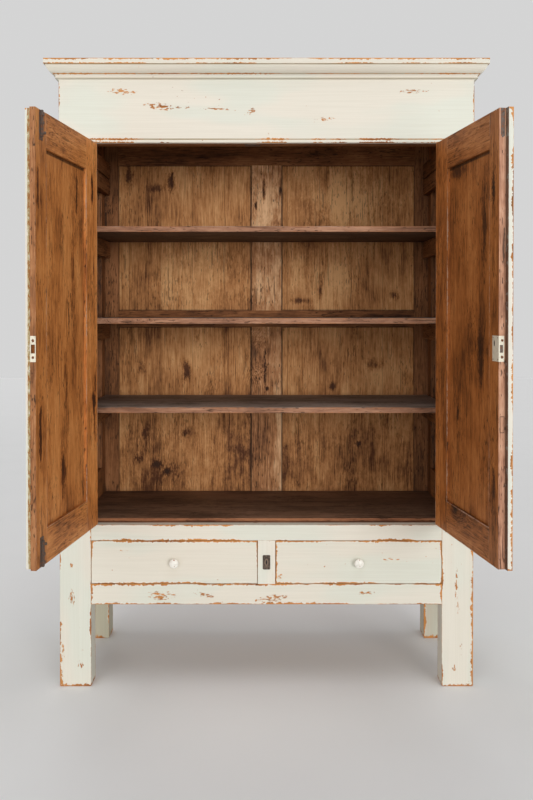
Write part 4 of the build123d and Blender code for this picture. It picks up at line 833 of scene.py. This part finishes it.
def dress_inside():
    panel_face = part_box("back_panels")[0].y
    frame_boards = [block for node in ("back_rails", "back_muntins", "back_stiles")
                    for block in boards(node)]
    # painted shade where the panels meet the frame, and along the muntins' edges
    stain_node("back_panels", "Z", BACK_TONES, seed=1.7, knots=0.25, strip=0.118, flecks=0.5,
               blots=face_marks(BACK_FACE, BACK_BLOT_DEPTH, BACK_STAINS_AND_SHADING),
               creases=flattened(frame_boards, panel_face))
    stain_node("back_muntins", "Z", MUNTIN_TONES, seed=3.1, knots=0.4,
               blots=face_marks(BACK_FACE, BACK_BLOT_DEPTH, MUNTIN_STAINS_AND_LIGHT),
               creases=flattened(boards("back_muntins"), BACK_FACE))
    stain_node("back_stiles", "Z", WALL_TONES, seed=4.9, knots=0.3)
    stain_node("back_rails", "X", RAIL_TONES, seed=6.3, knots=0.4)
    stain_node("head_rail", "X", RAIL_TONES, seed=7.7, knots=0.3)
    floor_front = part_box("floor_board")[0].y
    # painted shade along the floor board's front, where it meets the sill rail
    floor_foot = segment((-POST_INNER, floor_front, DOOR_SILL), (POST_INNER, floor_front, DOOR_SILL))
    stain_node("floor_board", "X", FLOOR_TONES, tops=FLOOR_TOP_SHEEN_TONES, seed=8.2, knots=0.1,
               creases=[floor_foot])
    for index, shelf in enumerate(("shelf_top", "shelf_middle", "shelf_bottom")):
        stain_node(shelf, "X", SHELF_TONES, tops=SHELF_TOP_SHEEN_TONES, under=SHADED_UNDER_TONES,
                   blocks=[shown_box(shelf)], edge_tone=WORN_EDGE_TONE, seed=9.0 + index, knots=0.1)
    for side, sign in SIDES.items():
        cleats = f"{side}_cleats"
        stain_node(cleats, "Y", WALL_TONES, blocks=boards(cleats), seed=12.0 + sign, knots=0.3)
    for index, node in enumerate(("top_board", "drawer_runners", "drawer_kickers", "left_drawer_box",
                                  "right_drawer_box", "left_drawer_bottom", "right_drawer_bottom")):
        along = "X" if node in ("top_board", "left_drawer_bottom", "right_drawer_bottom") else "Y"
        stain_node(node, along, RAW_TONES, seed=15.0 + index, knots=0.3)


# ------------------------------------------------------------------ doors
HANDS = {"left": 1, "right": -1}
PAINT_DEPTH = {"left": 18 * MM, "right": 14 * MM}
OUTER_FACE = 5 * MM
INNER_FACE = 38 * MM
INNER_END = {"left": 581.25 * MM, "right": 565.75 * MM}
SCRUBBED_FROM = 12 * MM
SCRUBBED_WIDTH = 18 * MM
# painted shadow lines on each door panel under its top rail: how far below the rail's foot
PANEL_SHADOW_DROPS = (0.0, 3 * MM, 6 * MM)
DOOR_MARK_DEPTH = 12 * MM
EDGE_WOOD_TONES = {
    "left": (tint(96, 58, 34), tint(160, 106, 66), tint(196, 142, 98)),
    "right": (tint(104, 66, 48), tint(192, 140, 110), tint(224, 180, 150)),
}
# stains on the doors: along the leaf, z, half the width and height, and how dark
DOOR_MARKS = {
    "left_hinge_stile": ((0.042, 0.917, 0.022, 0.040, 1.3), (0.034, 0.850, 0.014, 0.080, 0.7),
                         (0.026, 0.965, 0.012, 0.060, 0.6), (0.057, 1.604, 0.012, 0.032, 1.1),
                         (0.057, 1.562, 0.014, 0.030, 1.2), (0.040, 1.330, 0.010, 0.060, 0.5)),
    "left_lock_stile": ((0.545, 0.880, 0.014, 0.110, 0.9), (0.560, 1.520, 0.012, 0.060, 0.6)),
    "left_door_panel": ((0.190, 1.540, 0.016, 0.080, 1.0), (0.324, 0.746, 0.030, 0.090, 0.6),
                        (0.300, 1.020, 0.020, 0.120, 0.4), (0.230, 1.300, 0.030, 0.160, 0.4)),
    "right_lock_stile": ((0.522, 1.530, 0.014, 0.055, 1.2), (0.530, 0.740, 0.014, 0.060, 0.6)),
    "right_door_panel": ((0.200, 1.612, 0.110, 0.030, 0.5), (0.400, 1.100, 0.030, 0.060, 0.5),
                         (0.402, 1.030, 0.026, 0.070, 0.5), (0.197, 0.890, 0.012, 0.050, 0.6),
                         (0.430, 1.420, 0.030, 0.120, 0.4)),
}
SCRUBBED_PAINT = tint(196, 182, 140)
SCRUBBED_BARE = tint(168, 116, 62)
# the doors' light arris line: wear, and a painted highlight on the lit ledges
ARRIS_WEAR_AND_HIGHLIGHT = tint(200, 168, 146)
INLAY_SPAN = (23 * MM, 34 * MM)
INLAY_LEVEL = (0.880, 0.922)


def edge_wood(nodes, vector, grain, side, seed):
    """The paler wood of a leaf's free edge; the right leaf's has the outline of an inlaid patch."""
    figure = nodes.group(WOOD_FIGURE, vector=grain, seed=seed + 0.7, knots=0.4)
    pale = wood_colour(nodes, figure["Tone"], EDGE_WOOD_TONES[side])
    pale = nodes.mix(nodes.times(figure["Flecks"], 0.8), pale, GAP_DARK)
    if side == "left":
        return pale
    inlay = [segment((INNER_END[side], -INLAY_SPAN[1], INLAY_LEVEL[0]),
                     (INNER_END[side], -INLAY_SPAN[0], INLAY_LEVEL[1]))]
    outline = nodes.spread(edge_distance(nodes, vector, inlay), 1.4 * MM, 0.4 * MM, 0.0, 0.85)
    return nodes.mix(outline, pale, GAP_DARK)


def scrubbed_coat(nodes, vector, coat, ragged, depth, at_end):
    """The left leaf's coat, scrubbed down to old paint and wood where it turns in at the free edge."""
    worn = nodes.noise(vector, (150.0, 150.0, 60.0), detail=4.0, roughness=0.7)
    scrubbed = nodes.mix(nodes.spread(worn, 0.47, 0.56), SCRUBBED_PAINT, SCRUBBED_BARE)
    scrubbed = nodes.mix(nodes.spread(worn, 0.40, 0.36), scrubbed, CREAM)
    turned_in = nodes.above(nodes.scaled(ragged, 3 * MM, depth), SCRUBBED_FROM)
    return nodes.mix(nodes.times(turned_in, at_end), coat, scrubbed)


def dress_door_piece(side, piece, along, tones, seed):
    """Stained inside face, the free edge's wood paler, and the outer layer of the leaf painted."""
    node, place, hand = f"{side}_{piece}", LEAF[side], HANDS[side]
    is_panel, at_edge = piece == "door_panel", piece == "lock_stile"
    material, nodes, shader, vector, grain = wood_material(f"{node}_finish", place, along)
    blocks = boards(node, place)
    along_leaf, through = nodes.split(vector)[:2]
    depth = nodes.times(through, float(hand))
    ragged = nodes.noise(vector, 60.0, detail=3.0)

    face = hand * (max(hand * corner[1] for corner in blocks[0]) if is_panel else INNER_FACE)
    creases = []
    if is_panel:
        start, end = blocks[0][0][0], blocks[0][1][0]
        rail_foot = max(low[2] for low, _ in boards(f"{side}_door_rails", place))
        # painted shadow on the panel under the top rail
        creases = [segment((start, face, rail_foot - drop), (end, face, rail_foot - drop))
                   for drop in PANEL_SHADOW_DROPS]
    # the top rail's arrises get no light line, as its lower arris lies in shade
    if piece == "door_rails":
        blocks = sorted(blocks, key=lambda block: block[0][2])[:-1]
    wood, relief = stain_layer(nodes, vector, grain, tones, blocks=blocks, seed=seed, knots=0.3,
                               edge_tone=ARRIS_WEAR_AND_HIGHLIGHT, edge_width=0.0024, edge_share=0.8, creases=creases,
                               blots=face_marks(face, DOOR_MARK_DEPTH, DOOR_MARKS.get(node, ())),
                               flecks=0.5 if along == "X" else 0.8)
    coat, _, height = paint_layer(nodes, vector, grain, blocks, seed=seed,
                                  width=0.005 if at_edge else 0.0026, cover=0.8 if at_edge else 0.45)
    if at_edge:
        at_end = nodes.above(along_leaf, INNER_END[side] - 0.8 * MM)
        wood = nodes.mix(at_end, wood, edge_wood(nodes, vector, grain, side, seed))
    if node == "left_lock_stile":
        at_end = nodes.above(along_leaf, blocks[0][1][0] - SCRUBBED_WIDTH)
        coat = scrubbed_coat(nodes, vector, coat, ragged, depth, at_end)
    painted_to = OUTER_FACE + PAINT_DEPTH[side if at_edge else "left"]
    outside = nodes.math("LESS_THAN", depth, nodes.swung(ragged, 4 * MM, painted_to - 0.5 * MM))
    colour = nodes.mix(outside, wood, coat)
    # painted shade in the step between the lip and the leaf's inner layer
    if node == "right_lock_stile":
        step = nodes.math("ABSOLUTE", nodes.minus(depth, painted_to))
        colour = nodes.mix(nodes.spread(step, 1.8 * MM, 0.6 * MM, 0.0, 0.7), colour, GAP_DARK)
    height = nodes.scaled(nodes.minus(height, relief), outside, relief)
    finish(nodes, shader, colour, nodes.spread(relief, 0.2, 0.8, 0.66, 0.46), height, WOOD_RELIEF)
    dress(node, material)


def dress_doors():
    for side, tones in (("left", LEFT_DOOR_LIT_TONES), ("right", RIGHT_DOOR_SHADED_TONES)):
        for index, (piece, along) in enumerate((("hinge_stile", "Z"), ("lock_stile", "Z"),
                                                ("door_rails", "X"), ("door_panel", "Z"))):
            lift = HINGE_STILE_LIFT if piece == "hinge_stile" else 1.0
            lifted = [(*(lift * channel for channel in tone[:3]), 1.0) for tone in tones]
            dress_door_piece(side, piece, along, lifted, 20.0 + index)


# ------------------------------------------------------------------ metal
IRON = tint(96, 84, 76)
RUST = tint(124, 76, 46)
RUST_DARK = tint(84, 52, 36)
KNOB_BARE = tint(186, 108, 62)
BRONZE = tint(70, 59, 50)
BRONZE_WORN = tint(124, 104, 88)
PLATE_PAINT = tint(230, 222, 200)
KNOB_PAINT = tint(243, 240, 230)


def painted_metal(name, tone, marks, roughness=0.45, under=(RUST, RUST_DARK), spots=()):
    """Painted metal or turned wood, its paint gone at marks, each given by its centre and size."""
    material, nodes, shader = new_material(name)
    vector = ROW.coordinates(nodes)
    tarnish = nodes.noise(vector, 70.0, detail=4.0, roughness=0.6)
    fine = nodes.noise(vector, 900.0)
    lost = nodes.spread(nodes.noise(vector, 260.0), 0.74, 0.78)
    for centre, size in marks:
        patch = nodes.group(BLOT, vector=vector, centre=centre, size=size)[0]
        lost = nodes.most(lost, nodes.spread(patch, 0.42, 0.52))
    coat = nodes.mix(nodes.spread(tarnish, 0.5, 0.75, 0.0, 0.4), tone, PAINT_DIRT_AND_SHADE)
    bare = nodes.mix(nodes.spread(fine, 0.4, 0.6), *under)
    colour = spotted(nodes, vector, nodes.mix(lost, coat, bare), spots)
    finish(nodes, shader, colour, nodes.spread(lost, 0.0, 1.0, roughness, 0.8),
           nodes.scaled(fine, 0.2, nodes.times(lost, -1.0)), METAL_PAINT_RELIEF)
    return material


KEYHOLE_FLOOR = 0.4 * MM
KEYHOLE_REACH = (3.0 * MM, 3.0 * MM, 8.0 * MM)
BOSS_REACH = (6.4 * MM, 6.4 * MM, 12.0 * MM)
# painted shade in the blind keyholes and in the lock's drawn slot
HOLE_SHADE = tint(14, 10, 8)
SCREW_MARK = (6 * MM, 6 * MM, 7 * MM)
LOCK_SLOT = (3 * MM, 4 * MM, 8 * MM)
CORNER_SCREW = (2.2 * MM, 2.2 * MM, 2.2 * MM)


def keyhole_floor(place, node, outward):
    """The middle of a blind keyhole's floor, in the row frame."""
    (low, high), = boards(node, place)
    foot = high[1] if outward < 0 else low[1]
    return place.in_row(((low[0] + high[0]) / 2, foot + outward * KEYHOLE_FLOOR, (low[2] + high[2]) / 2))


def dress_metal():
    iron = old_iron("old_iron", IRON, RUST, 0.45)
    for node in ("post_hinge_leaves", "left_door_hinge_leaves", "right_door_hinge_leaves", "bolt_keeper",
                 "left_bolt_plates", "left_top_bolt", "left_bottom_bolt", "edge_plate", "left_knob_screw",
                 "right_knob_screw", "lock_bolt"):
        dress(node, iron)
    marks = [(LEAF[side].in_row(foot), SCREW_MARK) for side in SIDES for foot in plate_screw_places(side)]
    leaf = LEAF["right"]
    (low, high), = boards("lock_case", leaf)
    slot = (low[0] + 0.3 * (high[0] - low[0]), -INNER_FACE, high[2] - 0.3 * (high[2] - low[2]))
    # the lock's slot is only drawn, in painted shade
    spots = [(leaf.in_row(slot), LOCK_SLOT, HOLE_SHADE)]
    for u in (low[0] + 5 * MM, high[0] - 8 * MM):
        for z in (low[2] + 5 * MM, high[2] - 5 * MM):
            spots.append((leaf.in_row((u, -INNER_FACE, z)), CORNER_SCREW, RUST))
    plate = painted_metal("painted_plate", PLATE_PAINT, marks, spots=spots)
    for node in PLATES.values():
        dress(node, plate)
    # the keyholes' shallow floors are painted dark as shade
    keyholes = (keyhole_floor(ROW, "drawer_escutcheon", -1.0), keyhole_floor(leaf, "door_escutcheon", 1.0))
    bronze = old_iron("dark_bronze", BRONZE, BRONZE_WORN, 0.4, roughness=0.5, spots=[
        (centre, reach, tone) for centre in keyholes
        for reach, tone in ((BOSS_REACH, BRONZE_WORN), (KEYHOLE_REACH, HOLE_SHADE))])
    for node in ("drawer_escutcheon", "door_escutcheon"):
        dress(node, bronze)
    return iron, bronze, old_iron("rusty_iron", RUST, RUST_DARK, 0.2, roughness=0.7)


# ------------------------------------------------------------------ modelled pieces
PLATES = {"left": "strike_plate", "right": "lock_case"}
PLATE_SCREWS = 4
PLATE_SCREW_INSET = 12 * MM
PLATE_SCREW_DEPTH = {"left": 30.5 * MM, "right": 28.5 * MM}
PLATE_SCREW_SQUASH = 0.45
BOLT_PLATE_THICKNESS = 1.6 * MM
BOLT_SCREW_INSET = (4.5 * MM, 5 * MM)
BOLT_SCREW_SHARE = 0.7
EDGE_SCREW_INSET = (14 * MM, 10 * MM)
SCREW_RADIUS = 3.4 * MM
KEY_PLATE_THICKNESS = 1.4 * MM
KEY_PLATE_CORNER = 3.5 * MM
KEY_PLATE_STEPS = ((1.1 * MM, 0.5 * MM), (0.9 * MM, -0.4 * MM))
BOSS_SIZE = (11.5 * MM, 23 * MM)
BOSS_SPAN = (0.2 * MM, 2.6 * MM)
BOSS_TAPER = 0.88
KEYHOLE_SIZE = (4.6 * MM, 14.5 * MM)
PIN_INSET = 5.5 * MM
# profiles are (height, radius) in mm, and the screw's radii are shares of its own
KNOB_PROFILE = ((0.0, 9.6), (0.9, 10.4), (2.0, 10.4), (2.8, 9.6), (4.2, 7.6), (6.5, 6.6), (9.0, 6.5),
                (11.5, 7.4), (13.6, 9.6), (15.2, 12.0), (17.0, 14.0), (19.0, 14.9), (21.0, 14.9),
                (22.8, 13.9), (24.4, 11.6), (25.6, 8.6), (26.4, 5.2), (26.9, 2.2), (27.0, 0.6))
PIN_PROFILE = ((0.3, 1.9), (1.7, 1.9), (2.3, 1.5), (2.6, 0.8), (2.65, 0.3))
SCREW_PROFILE = ((-0.4, 1.0), (0.25, 1.0), (0.55, 0.92), (0.9, 0.72), (1.1, 0.45), (1.15, 0.12))
TO_FRONT = Vector((0.0, -1.0, 0.0))
THROUGH_LEAF = Vector((0.0, 1.0, 0.0))
ALONG_LEAF = Vector((1.0, 0.0, 0.0))


def plate_screw_places(side):
    """The two screws of the lock's or strike's plate on a leaf's free edge, in the leaf's frame."""
    low, high = boards(PLATES[side], LEAF[side])[0]
    across = HANDS[side] * PLATE_SCREW_DEPTH[side]
    return [Vector((INNER_END[side], across, z))
            for z in (low[2] + PLATE_SCREW_INSET, high[2] - PLATE_SCREW_INSET)]


def select_only(piece):
    bpy.ops.object.select_all(action="DESELECT")
    bpy.context.view_layer.objects.active = piece
    piece.select_set(True)


def open_disc(name, radius, z, sides):
    """A new flat disc at a height, open in edit mode with all of it selected."""
    bpy.ops.object.select_all(action="DESELECT")
    bpy.ops.mesh.primitive_circle_add(vertices=sides, radius=radius, fill_type="NGON",
                                      location=(0.0, 0.0, z))
    piece = bpy.context.object
    piece.name = name
    bpy.ops.object.transform_apply(location=True, rotation=True, scale=True)
    bpy.ops.object.mode_set(mode="EDIT")
    bpy.ops.mesh.select_all(action="SELECT")
    return piece


def raise_face(height, next_height, share):
    """Extrudes the selected face from one height to the next and scales it there about the axis."""
    bpy.ops.mesh.extrude_region_move(TRANSFORM_OT_translate={"value": (0.0, 0.0, next_height - height)})
    bpy.ops.transform.resize(value=(share, share, 1.0), center_override=(0.0, 0.0, next_height))


def close_piece():
    """Turns all faces of the piece in edit mode outwards, and leaves edit mode."""
    bpy.ops.mesh.select_all(action="SELECT")
    bpy.ops.mesh.normals_make_consistent(inside=False)
    bpy.ops.object.mode_set(mode="OBJECT")


def turned(name, rings, sides):
    """A piece turned about z: rings are (height, radius), from its foot up to a small flat top."""
    piece = open_disc(name, rings[0][1], rings[0][0], sides)
    for (height, radius), (next_height, next_radius) in zip(rings, rings[1:]):
        raise_face(height, next_height, next_radius / radius)
    close_piece()
    bpy.ops.object.shade_smooth_by_angle(angle=math.radians(38.0))
    return piece


def combine(piece, other, operation):
    """Joins the other piece to the first or cuts it out, and removes it."""
    modifier = piece.modifiers.new("shape", "BOOLEAN")
    modifier.operation = operation
    modifier.object = other
    modifier.solver = "EXACT"
    select_only(piece)
    bpy.ops.object.modifier_apply(modifier=modifier.name)
    bpy.data.objects.remove(other, do_unlink=True)


def box_piece(name, low, high):
    bpy.ops.object.select_all(action="DESELECT")
    low, high = Vector(low), Vector(high)
    bpy.ops.mesh.primitive_cube_add(size=1.0, location=(low + high) / 2, scale=high - low)
    piece = bpy.context.object
    piece.name = name
    bpy.ops.object.transform_apply(location=True, rotation=True, scale=True)
    return piece


def oval_piece(name, size, span, taper=1.0):
    """An upright oval prism on z, its size across and its span of heights given, its top tapered."""
    (width, height), (low, high) = size, span
    piece = open_disc(name, width / 2, low, 40)
    bpy.ops.transform.resize(value=(1.0, height / width, 1.0), center_override=(0.0, 0.0, low))
    raise_face(low, high, taper)
    close_piece()
    return piece


def settle(piece, place, foot, outward, spin=0.0):
    """Stands a piece modelled on z on a foot in the place's frame, pointing outward, and applies that."""
    stand = outward.to_track_quat("Z", "Y").to_matrix().to_4x4()
    matrix = place.to_local.inverted() @ Matrix.Translation(foot) @ stand @ Matrix.Rotation(spin, 4, "Z")
    piece.matrix_world = matrix
    select_only(piece)
    bpy.ops.object.transform_apply(location=True, rotation=True, scale=True)


def give(piece, material, body, node=None):
    piece.data.materials.clear()
    piece.data.materials.append(material)
    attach(piece, body)
    if node:
        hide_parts(node)


def twin(piece, name):
    """A copy of a piece with a mesh of its own."""
    copy = piece.copy()
    copy.data = piece.data.copy()
    copy.name = name
    bpy.context.scene.collection.objects.link(copy)
    return copy


def make_knobs():
    for side, sign in SIDES.items():
        low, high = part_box(f"{side}_knob")
        middle = (low + high) / 2
        share = (high.y - low.y) / KNOB_PROFILE[-1][0]
        rings = [(height * share, radius * MM) for height, radius in KNOB_PROFILE]
        knob = turned(f"{side}_turned_knob", rings, 48)
        settle(knob, ROW, Vector((middle.x, high.y, middle.z)), TO_FRONT)
        face = low.y + 3 * MM
        marks = [((middle.x + MM, face, middle.z + 12.5 * MM), (0.0032, 0.008, 0.0024)),
                 ((middle.x + 2 * MM, face, middle.z - 7 * MM), (0.004 + 0.001 * sign, 0.008, 0.0028))]
        give(knob, painted_metal(f"{side}_knob_paint", KNOB_PAINT, marks, 0.38, (KNOB_BARE, BARE_DARK)),
             f"{side}_drawer", f"{side}_knob")


def unselect(kind):
    """Clears the selection of the active piece's edges or faces, for the next to be chosen in code."""
    bpy.ops.object.mode_set(mode="EDIT")
    bpy.ops.mesh.select_mode(type=kind)
    bpy.ops.mesh.select_all(action="DESELECT")
    bpy.ops.object.mode_set(mode="OBJECT")


def make_key_plate(name, width, height):
    """Key plate on z with rounded corners, an oval boss round its keyhole, and two pins."""
    plate = box_piece(name, (-width / 2, -height / 2, 0.0), (width / 2, height / 2, KEY_PLATE_THICKNESS))
    mesh = plate.data
    unselect("EDGE")
    for edge in mesh.edges:
        first, second = (mesh.vertices[index].co for index in edge.vertices)
        edge.select = abs(first.z - second.z) > 0.5 * MM
    bpy.ops.object.mode_set(mode="EDIT")
    bpy.ops.mesh.bevel(offset=KEY_PLATE_CORNER, segments=5, affect="EDGES")
    unselect("FACE")
    for face in mesh.polygons:
        face.select = face.normal.z > 0.9
    bpy.ops.object.mode_set(mode="EDIT")
    for inset, rise in KEY_PLATE_STEPS:
        bpy.ops.mesh.inset(thickness=inset, depth=0.0)
        bpy.ops.transform.translate(value=(0.0, 0.0, rise))
    bpy.ops.object.mode_set(mode="OBJECT")
    combine(plate, oval_piece("boss", BOSS_SIZE, BOSS_SPAN, BOSS_TAPER), "UNION")
    combine(plate, oval_piece("hole", KEYHOLE_SIZE, (KEYHOLE_FLOOR, 5 * MM)), "DIFFERENCE")
    for sign in (-1, 1):
        pin = turned("pin", [(rise * MM, radius * MM) for rise, radius in PIN_PROFILE], 20)
        pin.data.transform(Matrix.Translation((0.0, sign * (height / 2 - PIN_INSET), 0.0)))
        combine(plate, pin, "UNION")
    select_only(plate)
    bpy.ops.object.shade_smooth_by_angle(angle=math.radians(30.0))
    return plate


def make_key_plates(bronze):
    low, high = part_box("drawer_escutcheon")
    middle = (low + high) / 2
    plate = make_key_plate("drawer_key_plate", high.x - low.x, high.z - low.z)
    settle(plate, ROW, Vector((middle.x, high.y, middle.z)), TO_FRONT)
    give(plate, bronze, "carcass", "drawer_escutcheon")
    place = LEAF["right"]
    (low, high), = boards("door_escutcheon", place)
    plate = make_key_plate("door_key_plate", high[0] - low[0], high[2] - low[2])
    foot = Vector(((low[0] + high[0]) / 2, low[1], (low[2] + high[2]) / 2))
    settle(plate, place, foot, THROUGH_LEAF)
    give(plate, bronze, "right_door", "door_escutcheon")


def make_screw_head(radius):
    """Domed screw head with a slot, on z, its foot a little below the surface it is driven into."""
    head = turned("screw_head", [(rise * MM, share * radius) for rise, share in SCREW_PROFILE], 28)
    reach, half = 1.2 * radius, 0.16 * radius
    combine(head, box_piece("slot", (-reach, -half, 0.45 * MM), (reach, half, 3 * MM)), "DIFFERENCE")
    return head


def screw_places():
    """Each screw's body, frame, foot, outward direction and turn of its slot; the plates' come first."""
    places = []
    for side in SIDES:
        for index, foot in enumerate(plate_screw_places(side)):
            places.append((f"{side}_door", LEAF[side], foot, ALONG_LEAF, 0.6 + index))
    front = INNER_FACE + BOLT_PLATE_THICKNESS
    inset_u, inset_z = BOLT_SCREW_INSET
    for low, high in boards("left_bolt_plates", LEAF["left"]):
        for u in (low[0] + inset_u, high[0] - inset_u):
            for z in (low[2] + inset_z, high[2] - inset_z):
                foot = Vector((u, front, z))
                places.append(("left_door", LEAF["left"], foot, THROUGH_LEAF, 8 * u + 3 * z))
    (low, high), = boards("edge_plate", LEAF["right"])
    across = (low[1] + high[1]) / 2
    for z in (low[2] + EDGE_SCREW_INSET[0], high[2] - EDGE_SCREW_INSET[1]):
        places.append(("right_door", LEAF["right"], Vector((high[0], across, z)), ALONG_LEAF, z))
    return places


def make_screws(iron, rusty):
    head = make_screw_head(SCREW_RADIUS)
    for index, (body, place, foot, outward, spin) in enumerate(screw_places()):
        screw = twin(head, f"screw_{index + 1}")
        if index < PLATE_SCREWS:
            screw.data.transform(Matrix.Diagonal((1.0, 1.0, PLATE_SCREW_SQUASH, 1.0)))
        if outward == THROUGH_LEAF:
            screw.data.transform(Matrix.Diagonal((*(BOLT_SCREW_SHARE,) * 3, 1.0)))
        settle(screw, place, foot, outward, spin)
        give(screw, rusty if index < PLATE_SCREWS else iron, body)
    bpy.data.objects.remove(head, do_unlink=True)


dress_outside()
dress_inside()
dress_doors()
old_metal, old_bronze, rusty_metal = dress_metal()
make_knobs()
make_key_plates(old_bronze)
make_screws(old_metal, rusty_metal)


# ------------------------------------------------------------------ floor, light and camera
GROUND_TONE = tint(238, 238, 238)
AMBIENT = 0.3
BACKGROUND = 0.66
CAMERA_DISTANCE = 3.206
CAMERA_HEIGHT = 1.1986
CAMERA_TILT_DEG = 0.69
CAMERA_SHIFT = -0.0959
LENS_MM = 45.35
SENSOR_MM = 36.0


def make_floor():
    bpy.ops.object.select_all(action="DESELECT")
    bpy.ops.mesh.primitive_plane_add(size=30.0, location=ORIGIN)
    floor = bpy.context.object
    floor.name = "studio_floor"
    material, nodes, shader = new_material("studio_floor_grey")
    vector = nodes.put("ShaderNodeTexCoord", {}).outputs["Object"]
    mottle = nodes.noise(vector, 3.0, detail=3.0)
    shade = nodes.mix(nodes.spread(mottle, 0.3, 0.7, 0.0, 0.04), GROUND_TONE, tint(200, 200, 204))
    nodes.feed(shader.inputs["Base Color"], shade)
    shader.inputs["Roughness"].default_value = 0.8
    floor.data.materials.append(material)


def sun(name, azimuth, elevation, strength, spread):
    """Soft daylight from a direction, in degrees: 0 is in front of the cabinet, 90 on its right."""
    turn, rise = math.radians(azimuth), math.radians(elevation)
    towards = Vector((math.sin(turn) * math.cos(rise), -math.cos(turn) * math.cos(rise), math.sin(rise)))
    data = bpy.data.lights.new(name, "SUN")
    data.energy = strength
    data.angle = math.radians(spread)
    lamp = bpy.data.objects.new(name, data)
    lamp.rotation_euler = towards.to_track_quat("Z", "Y").to_euler()
    bpy.context.scene.collection.objects.link(lamp)


def make_light():
    sun("window_light", 22.0, 6.0, 1.3, 22.0)
    sun("room_light", -20.0, 6.0, 0.75, 36.0)
    sun("ceiling_light", 10.0, 74.0, 0.9, 50.0)
    sun("back_light", 188.0, 20.0, 0.6, 40.0)
    world = bpy.data.worlds.new("studio")
    bpy.context.scene.world = world
    world.use_nodes = True
    nodes = Nodes(world.node_tree)
    background = world.node_tree.nodes["Background"]
    path = nodes.put("ShaderNodeLightPath", {}).outputs
    seen = nodes.most(path["Is Camera Ray"], path["Is Glossy Ray"])
    seen = nodes.most(seen, path["Is Transmission Ray"])
    background.inputs["Color"].default_value = (1.0, 1.0, 1.0, 1.0)
    nodes.feed(background.inputs["Strength"], nodes.spread(seen, 0.0, 1.0, AMBIENT, BACKGROUND))


def make_camera():
    data = bpy.data.cameras.new("camera")
    data.lens = LENS_MM
    data.sensor_width = SENSOR_MM
    data.shift_y = CAMERA_SHIFT
    camera = bpy.data.objects.new("camera", data)
    camera.location = (0.0, FRONT_Y - CAMERA_DISTANCE, CAMERA_HEIGHT)
    camera.rotation_euler = Euler((math.radians(90.0 - CAMERA_TILT_DEG), 0.0, 0.0))
    bpy.context.scene.collection.objects.link(camera)
    bpy.context.scene.camera = camera


make_floor()
make_light()
make_camera()
bpy.context.scene.view_settings.view_transform = "Standard"
